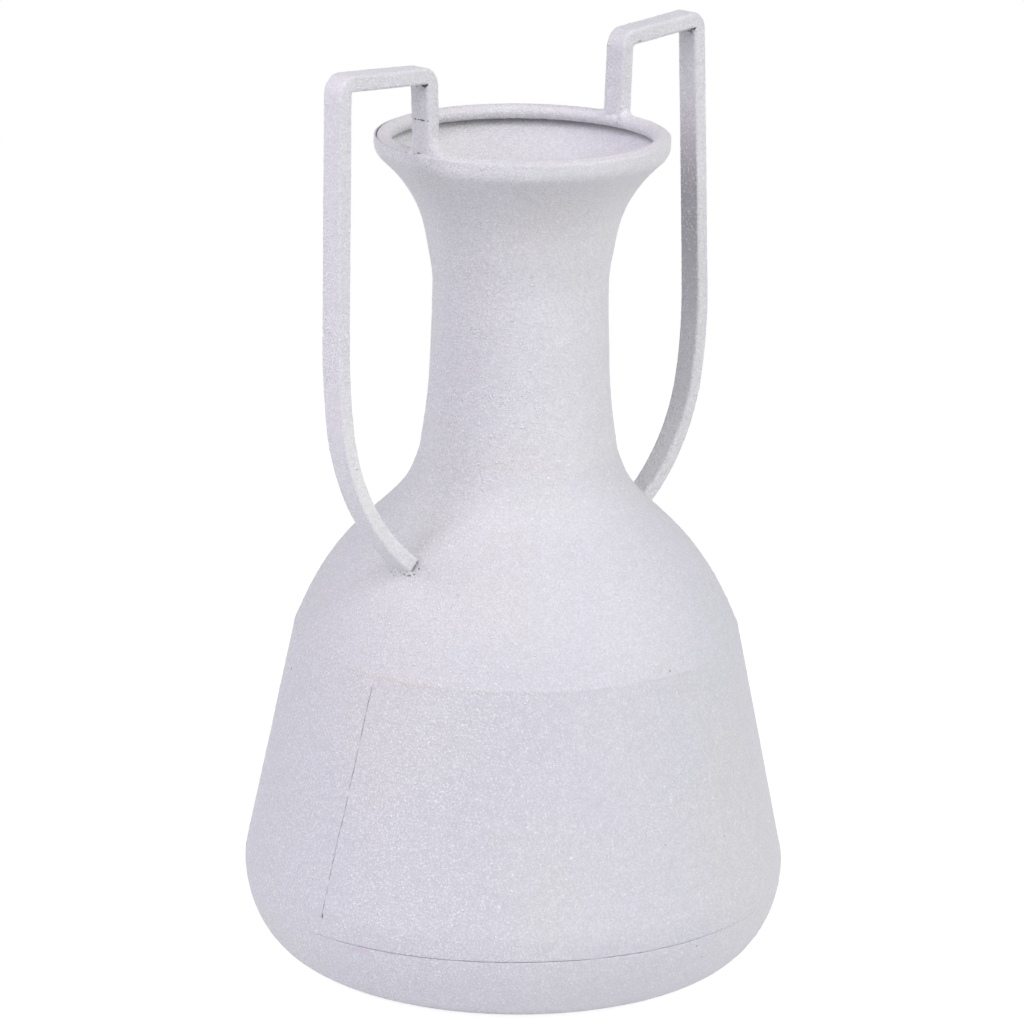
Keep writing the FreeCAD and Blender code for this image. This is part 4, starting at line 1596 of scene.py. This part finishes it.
    def foot_ends(
        self, centre: Array, heading: Array, run: Array, section: Array, dome: SectionLine
    ) -> Array:
        """Length along the path at which each edge of the section comes down to the dome.

        Args:
            centre: (reach, height) along the path.
            heading: headings along the path.
            run: lengths along the path.
            section: the bar's section.
            dome: outer line of the dome and neck.

        Returns:
            One length for each point of the section.
        """
        across = heading_way(heading + 90)
        reach = centre[:, None, 0] + across[:, None, 0] * section[None, :, 0]
        height = centre[:, None, 1] + across[:, None, 1] * section[None, :, 0]
        wall = np.interp(height, dome.points[:, 1], dome.points[:, 0])
        aside = section[None, :, 1] + self.drift(height)
        clear = np.hypot(reach, aside) - wall - self.foot_gap
        clear = np.where(height > dome.points[-1, 1], 1.0, clear)
        last = np.argmax(clear < 0, axis=0)
        column = np.arange(len(section))
        before, after = clear[last - 1, column], clear[last, column]
        return run[last - 1] + (run[last] - run[last - 1]) * before / (before - after)

    def bar(
        self, rim: Rim, dome: SectionLine, neck_foot: float, material: Material
    ) -> Piece:
        """Bent bar with upset corners and a rounded end that stands just off the dome.

        Args:
            rim: the rim that the stub stands on.
            dome: outer line of the dome and neck.
            neck_foot: height of the neck's foot.
            material: its coat.

        Returns:
            The piece.
        """
        line = self.path(rim, neck_foot)
        centre, heading, pinch = (np.array(v) for v in (line.places, line.headings, line.pinches))
        section = bar_section(self.thickness, self.width, self.edge)
        across, sideways = section[None, :, 0], section[None, :, 1]
        upset = 1 + self.upset * pinch[:, None] * across / (self.thickness / 2)
        inner = np.clip((across - self.thickness / 2 + self.notch_edge) / self.notch_edge, 0, 1)
        notch = bell(pinch - 1, self.notch_width)[:, None] * inner
        sections = np.stack([across - self.notch_depth * notch, sideways * upset], axis=-1)
        run = np.concatenate([[0], np.cumsum(np.linalg.norm(np.diff(centre, axis=0), axis=1))])
        ends = self.foot_ends(centre, heading, run, section, dome)
        first = float(ends.min()) - self.tail_length
        keep = run < first
        shares = np.concatenate([np.linspace(0, 1, self.tail_rows), [1.0]])[:, None]
        end_run = first + (ends[None] - first) * shares
        tail_centre = np.stack([np.interp(end_run, run, centre[:, i]) for i in (0, 1)], axis=-1)
        shrink = np.ones((len(shares), 1, 1))
        shrink[-len(self.tail_shrink) :, 0, 0] = self.tail_shrink
        head = (centre[keep][:, None], heading[keep][:, None], sections[keep])
        tail = (tail_centre, np.interp(end_run, run, heading), section[None] * shrink)
        skin = np.concatenate([self.swept(*head, 0.0), self.swept(*tail, 0.0)])
        push = self.relief.at(skin)
        push[-1] = 0
        count = int(keep.sum())
        rows = [self.swept(*head, push[:count]), self.swept(*tail, push[count:])]
        # Painted shade: the notch and the inner corner of the most creased bend are painted dark in
        # specks.
        shade_specks = self.shade_breaks.share(skin)
        strongest = float(run[int(np.argmax(pinch))])
        crease = bell(run - strongest, self.corner_shade_reach, power=4)[:, None] * inner
        broken = self.corner_shade_breaks.share(skin[:count])
        bare_and_shade = np.zeros(push.shape)
        bare_and_shade[:count] = np.maximum(notch[keep] * shade_specks[:count], crease[keep] * broken)
        # Painted shade: the bar's end, in the gap over the dome, is painted dark in specks.
        foot = -len(self.tail_shade)
        bare_and_shade[foot:] = np.array(self.tail_shade)[:, None] * shade_specks[foot:] ** 2
        return solid(f"{self.name}_bar", [Grid(np.concatenate(rows), bare_and_shade=bare_and_shade)], [material])

    def stub(self, rim: Rim, material: Material) -> Piece:
        """Short bar that straddles the rod, with a broken butt line on its outward face.

        Args:
            rim: the rim that it stands on.
            material: its coat.

        Returns:
            The piece.
        """
        section = bar_section(self.thickness, self.width, self.edge)
        foot = np.array([rim.radius + self.stub_shift, rim.top])
        away = np.hypot(foot[0] + section[:, 0], section[:, 1]) - rim.radius
        rod = np.sqrt(np.clip(rim.rod_radius**2 - away**2, 0, None)) - rim.rod_radius
        low = np.maximum(rod, -self.saddle_depth)[None, :]
        shares = np.concatenate([np.linspace(0, 0.94, 26), np.linspace(0.95, 1, 9)])[:, None]
        rise = low + (self.stub_rise - low) * shares
        centre = foot + heading_way(np.array(self.stub_lean)) * rise[..., None]
        heading = np.full(rise.shape, self.stub_lean)
        skin = self.swept(centre, heading, section[None], 0.0)
        dashes = self.butt_line_breaks.share(skin * np.array([1.0, 1.0, 0.0]))
        close = bell(self.stub_rise - rise, self.butt_line_height, power=4)
        outward = section[None, :, 0] > self.thickness / 2 - self.face_edge
        crack = close * outward * dashes
        push = self.relief.at(skin) - self.butt_line_depth * crack
        rows = self.swept(centre, heading, section[None], push)
        return solid(f"{self.name}_stub", [Grid(rows, bare_and_shade=crack)], [material])

    def rim_weld(
        self, rim: Rim, facing: Facing, sizes: RimWeld, material: Material
    ) -> Piece:
        """Hollow fillet on the rim beside the stub, and the lumps that ran from it.

        Args:
            rim: the rim that it lies on.
            facing: side of the stub.
            sizes: sizes of the weld.
            material: its coat.

        Returns:
            The piece.
        """
        line = rim.line()
        top = line.along_near(rim.radius + self.stub_shift, rim.top)
        sign = facing.value * math.cos(math.radians(self.side.value))
        length = np.concatenate([sizes.under_stub, np.linspace(0, 1, sizes.rows)])[:, None]
        width = np.linspace(-1, 1, sizes.columns)[None, :]
        out = np.clip(length, 0, 1)
        along = top + width * sizes.reach * (1 - sizes.taper * out**2)
        sideways = self.width / 2 - sizes.overlap + sizes.length * length
        angle = self.side.value + sign * np.degrees(sideways / rim.radius) + 0 * along
        walk = around(*line.at(along, 0 * along), angle)
        crown = sizes.crown * (1 - np.abs(width) ** 3) * (1 - out**4)
        radius, height = line.at(along, -crown - sizes.coat * self.relief.at(walk))
        half = self.thickness / 2 + sizes.margin + sizes.spread * out
        across = np.abs(radius - rim.radius - self.stub_shift) / half
        fillet = (1 - out) ** sizes.hollow * sizes.height
        fillet = fillet * np.clip(1 - across**sizes.squareness, 0, 1) * sizes.wobble.at(walk)
        upper = around(radius, height + fillet, angle)
        lower = around(*line.at(along, sizes.root + 0 * along), angle)
        rows = np.concatenate([upper, lower[:, ::-1]], axis=1)
        grids = [Grid(rows if sign < 0 else rows[:, ::-1])]
        for lump in sizes.lumps:
            swing = self.side.value + sign * lump.turn
            grids.append(lump.grid(line, top + lump.reach, swing, self.relief))
        return solid(f"{self.name}_{facing.name.lower()}_rim_fillet", grids, [material])

    def foot_weld(
        self, rim: Rim, dome: SectionLine, neck_foot: float, material: Material
    ) -> Piece:
        """Lumpy bead across the bar under its foot.

        Args:
            rim: the rim that the stub stands on.
            dome: outer line of the dome and neck.
            neck_foot: height of the neck's foot.
            material: its coat.

        Returns:
            The piece.
        """
        path = self.path(rim, neck_foot)
        centre, heading = np.array(path.places), np.array(path.headings)
        outer = centre - heading_way(heading + 90) * self.thickness / 2
        wall = np.interp(outer[:, 1], dome.points[:, 1], dome.points[:, 0])
        reach, height = outer[int(np.argmax((outer[:, 0] < wall) & (outer[:, 1] < neck_foot)))]
        half, thick = self.foot_weld_length / 2, self.foot_weld_radius
        swing = np.radians(np.linspace(-88, 88, 12))
        near, far = np.split(half * np.sign(swing) + thick * np.sin(swing), 2)
        middle = np.linspace(-half, half, 22)[1:-1]
        steps = np.concatenate([near, middle, far])[:, None]
        near_round, far_round = np.split(np.cos(swing), 2)
        round_off = np.concatenate([near_round, np.ones(len(middle)), far_round])[:, None]
        turn = np.radians(np.linspace(0, 360, 36, endpoint=False))[None, :]
        out, up = np.cos(turn), np.sin(turn)
        walk = self.to_side(reach + thick * out, steps, height + thick * up)
        radius = thick * round_off * self.foot_weld_wobble.at(walk)
        rows = self.to_side(reach + radius * out, steps, height + radius * up)
        return solid(f"{self.name}_foot_bead", [Grid(rows[:, ::-1])], [material])

    def build(
        self, rim: Rim, dome: SectionLine, neck_foot: float, coats: Materials
    ) -> None:
        """Builds and fits the handle's pieces.

        Args:
            rim: the rim that the stub stands on.
            dome: outer line of the dome and neck.
            neck_foot: height of the neck's foot.
            coats: material of each kind of piece.
        """
        bar = self.bar(rim, dome, neck_foot, coats[f"{self.name}_bar"])
        fit(bar, f"{self.name}_handle_bar")
        fit(self.stub(rim, coats["stub"]), f"{self.name}_handle_stub")
        for facing, sizes in ((Facing.FRONT, self.front_weld), (Facing.BACK, self.back_weld)):
            weld = self.rim_weld(rim, facing, sizes, coats["weld"])
            fit(weld, f"{self.name}_{facing.name.lower()}_rim_weld")
        weld = self.foot_weld(rim, dome, neck_foot, coats["weld"])
        fit(weld, f"{self.name}_foot_weld")


LEFT_HANDLE = Handle(
    name="left",
    side=Side.LEFT,
    stub_shift=-0.5,
    stub_lean=2.4,
    stub_rise=16.5,
    inner_corner_rise=37.4,
    outer_corner_rise=41.0,
    span=57.3,
    leg_lean=0.28,
    bow_rise=77.4,
    bow_radius=379.0,
    bow_turn=6.6,
    curve_radius=110.6,
    front_weld=RimWeld(length=12.0, height=9.0, lumps=(WeldLump(1.5, -7.0, 4.2, 5.5, 0.9),)),
    back_weld=RimWeld(length=5.0, height=4.0),
    creases=(1.0, 0.6),
    foot_drift=3.0,
)
RIGHT_HANDLE = Handle(
    name="right",
    side=Side.RIGHT,
    stub_shift=0.4,
    stub_lean=2.4,
    stub_rise=12.3,
    inner_corner_rise=37.4,
    outer_corner_rise=40.6,
    span=52.6,
    leg_lean=2.8,
    bow_rise=62.8,
    bow_radius=206.6,
    bow_turn=13.4,
    curve_radius=91.9,
    front_weld=RimWeld(length=3.6, height=3.0, lumps=(WeldLump(1.5, 5.0, 3.8, 3.2, 1.3),)),
    back_weld=RimWeld(length=6.0, height=4.0, lumps=(WeldLump(1.0, 6.0, 3.5, 4.5, 0.8),)),
    creases=(0.6, 1.0),
)


# The studio


@dataclass(frozen=True)
class SoftLight:
    """Square soft light that looks at the middle of the vase."""

    name: str
    azimuth: float
    elevation: float
    distance: float
    size: float
    power: float
    colour: Colour

    def build(self, target: Vector) -> None:
        """Hangs the light.

        Args:
            target: place that it looks at.
        """
        lamp = bpy.data.lights.new(self.name, "AREA")
        lamp.shape, lamp.size = "SQUARE", self.size
        lamp.energy, lamp.color = self.power, self.colour
        hung = bpy.data.objects.new(self.name, lamp)
        turn, rise = math.radians(self.azimuth), math.radians(self.elevation)
        level = math.cos(rise)
        away = Vector((math.sin(turn) * level, -math.cos(turn) * level, math.sin(rise)))
        hung.location = target + away * self.distance
        hung.rotation_euler = away.to_track_quat("Z", "Y").to_euler()
        bpy.context.scene.collection.objects.link(hung)


@dataclass(frozen=True)
class Camera:
    """Camera at the photograph's viewing angle."""

    place: tuple[float, float, float] = (-1757.3, -1657.9, 923.4)
    ahead: tuple[float, float] = (0.7266, 0.6871)
    pitch: float = 16.147
    roll: float = 0.7313
    lens: float = 178.5
    sensor: float = 36.0

    def build(self) -> None:
        """Sets the camera up."""
        data = bpy.data.cameras.new("photo_view")
        data.lens, data.sensor_width = self.lens, self.sensor
        data.clip_start, data.clip_end = 0.1, 60.0
        camera = bpy.data.objects.new("photo_view", data)
        fall, tip = math.radians(self.pitch), math.radians(self.roll)
        ahead = Vector((*self.ahead, 0)).normalized()
        forward = ahead * math.cos(fall) + Vector((0, 0, -math.sin(fall)))
        level = Vector((ahead.y, -ahead.x, 0))
        upright = level.cross(forward)
        right = level * math.cos(tip) + upright * math.sin(tip)
        up = upright * math.cos(tip) - level * math.sin(tip)
        turned = Matrix((right, up, -forward)).transposed().to_4x4()
        camera.matrix_world = Matrix.Translation(Vector(self.place) * MM) @ turned
        bpy.context.scene.collection.objects.link(camera)
        bpy.context.scene.camera = camera


@dataclass(frozen=True)
class Studio:
    """Round white table in a white room, and soft lights, with lengths in metres."""

    table_radius: float = 1.1
    table_drop: float = 0.00005
    table_colour: Colour = (0.93, 0.93, 0.93)
    seen_colour: Colour = (0.30, 0.30, 0.30)
    seen_glow: float = 0.90
    room_colour: Colour = (0.95, 0.95, 1.0)
    room_strength: float = 0.07
    aim_height: float = 0.23
    lights: tuple[SoftLight, ...] = (
        SoftLight("right_front", 0.0, 35.0, 2.4, 1.5, 25.0, (0.95, 1.0, 0.95)),
        SoftLight("right", 43.0, 30.0, 2.4, 1.5, 15.0, (0.96, 0.92, 1.0)),
        SoftLight("left_front", -80.0, 45.0, 2.4, 1.5, 24.5, (0.97, 0.87, 1.0)),
        SoftLight("left", -95.0, 15.0, 2.4, 1.0, 8.0, (0.85, 0.93, 1.0)),
        SoftLight("left_back", -137.0, 30.0, 2.4, 1.5, 12.5, (0.95, 0.97, 1.0)),
    )

    def seen_mix(self, tree: Tree, plain: object, seen: object) -> object:
        """Mixes what lights the vase with what the camera and reflections see.

        Args:
            tree: tree of the table or the room.
            plain: shader for light that falls on the vase.
            seen: shader for what is looked at.

        Returns:
            The mixed shader.
        """
        rays = add(tree, "LightPath").outputs
        bounced = sums(tree, "MAXIMUM", rays["Is Glossy Ray"], rays["Is Transmission Ray"])
        looked_at = sums(tree, "MAXIMUM", rays["Is Camera Ray"], bounced)
        return add(tree, "MixShader", {0: looked_at, 1: plain, 2: seen}).outputs[0]

    def table(self) -> None:
        """Lays the table top, which the camera sees as white with a soft shadow."""
        made = bpy.data.materials.new("white_table")
        made.use_nodes = True
        tree = made.node_tree
        tree.nodes.clear()
        matt = add(tree, "BsdfDiffuse", {"Color": (*self.seen_colour, 1)}).outputs[0]
        glow = add(tree, "Emission", {"Color": (1, 1, 1, 1), "Strength": self.seen_glow}).outputs[0]
        seen = add(tree, "AddShader", {0: matt, 1: glow}).outputs[0]
        plain = add(tree, "BsdfDiffuse", {"Color": (*self.table_colour, 1)}).outputs[0]
        mixed = self.seen_mix(tree, plain, seen)
        add(tree, "OutputMaterial", {"Surface": mixed})
        mesh = bpy.data.meshes.new("table_top")
        turn = np.linspace(0, 360, 96, endpoint=False)
        edge = around(self.table_radius, -self.table_drop, turn).tolist()
        mesh.from_pydata(edge, [], [list(range(len(edge)))])
        mesh.materials.append(made)
        top = bpy.data.objects.new("table_top", mesh)
        bpy.context.scene.collection.objects.link(top)

    def room(self) -> None:
        """Lights the room evenly and lets the camera see it white."""
        world = bpy.data.worlds.new("room")
        world.use_nodes = True
        tree = world.node_tree
        tree.nodes.clear()
        pale = {"Color": (*self.room_colour, 1), "Strength": self.room_strength}
        plain = add(tree, "Background", pale).outputs[0]
        white = add(tree, "Background", {"Color": (1, 1, 1, 1), "Strength": 1.0}).outputs[0]
        add(tree, "OutputWorld", {"Surface": self.seen_mix(tree, plain, white)})
        bpy.context.scene.world = world

    def build(self) -> None:
        """Builds the studio and its camera."""
        self.table()
        self.room()
        for light in self.lights:
            light.build(Vector((0, 0, self.aim_height)))
        Camera().build()
        bpy.context.scene.view_settings.view_transform = "Standard"


FINISHES = {
    "base_dish": CoatFinish("coat_on_dish", marks=PAN_MARKS),
    "rolled_skirt": CoatFinish("coat_on_skirt", marks=SKIRT_MARKS),
    "spun_dome": CoatFinish("coat_on_dome", grain_depth=0.27, marks=DOME_MARKS),
    "spun_neck": CoatFinish(
        "coat_on_neck",
        coat=COAT_PAINTED_LIGHTER,
        warm=WARMER,
        grain_depth=0.31,
        heavy_and_shaded_side=0.95,
        ring_depth=0.08,
        marks=NECK_MARKS,
    ),
    "trumpet_mouth": CoatFinish(
        "coat_on_trumpet",
        coat=COAT_PAINTED_LIGHTER,
        warm=WARMER,
        grain_depth=0.29,
        heavy_and_shaded_side=0.95,
        ring_depth=0.07,
    ),
    "inside": CoatFinish("thin_coat_inside", grain_depth=0.1, density=0.1, heavy_and_shaded_side=0.0),
    "shoulder_seam": CoatFinish("coat_on_ground_bead", warm=(0.81, 0.78, 0.77)),
    "rod_ring": CoatFinish("coat_on_rod", coat=COAT_PAINTED_PALER, warm=WARMER, density=0.6),
    "rim_bead": CoatFinish("coat_on_rim_bead", coat=COAT_PAINTED_PALER, warm=WARMER, density=0.6),
    "left_bar": CoatFinish(
        "coat_on_left_bar",
        coat=COAT_PAINTED_PALER,
        warm=WARMER,
        density=0.7,
        heavy_and_shaded_side=0.0,
        grain_depth=0.27,
        # Painted highlight on the faces that look towards -Y, between the heights.
        face=FacingLight(
            way=(0.0, -1.0, 0.0), colour=(0.97, 0.965, 0.965), high=340.0, most=258.0, low=208.0
        ),
        marks=LEFT_BAR_MARKS,
    ),
    "right_bar": CoatFinish(
        "coat_on_right_bar",
        coat=COAT_PAINTED_PALER,
        warm=WARMER,
        density=0.7,
        heavy_and_shaded_side=0.0,
        grain_depth=0.27,
        # Painted shade on the inner faces that look towards -X, where the neck shades them.
        face=FacingLight(
            way=(-1.0, 0.0, 0.0), colour=(0.58, 0.57, 0.60), high=426.0, most=370.0, low=285.0
        ),
        marks=RIGHT_BAR_MARKS,
    ),
    "stub": CoatFinish(
        "coat_on_stubs", coat=COAT_PAINTED_PALER, warm=WARMER, density=0.7, heavy_and_shaded_side=0.1, marks=STUB_MARKS
    ),
    "weld": CoatFinish("coat_on_welds", coat=COAT_PAINTED_PALER, warm=WARMER, density=0.7, marks=WELD_MARKS),
}


def main() -> None:
    """Builds the vase and the studio."""
    logging.basicConfig(level=logging.INFO, format="%(message)s")
    groups = CoatGroups()
    coats = {name: finish.material(groups) for name, finish in FINISHES.items()}
    body = SheetBody()
    body.build(coats)
    rim = Rim(body.sheet, body.lip_radius, body.lip_top)
    rim.build(coats)
    upper = body.upper_line()
    dome = SectionLine(upper[upper[:, 1] <= body.waist_height])
    for handle in (LEFT_HANDLE, RIGHT_HANDLE):
        handle.build(rim, dome, body.neck_foot_height, coats)
    Studio().build()
    bpy.context.view_layer.update()


if __name__ == "__main__":
    main()
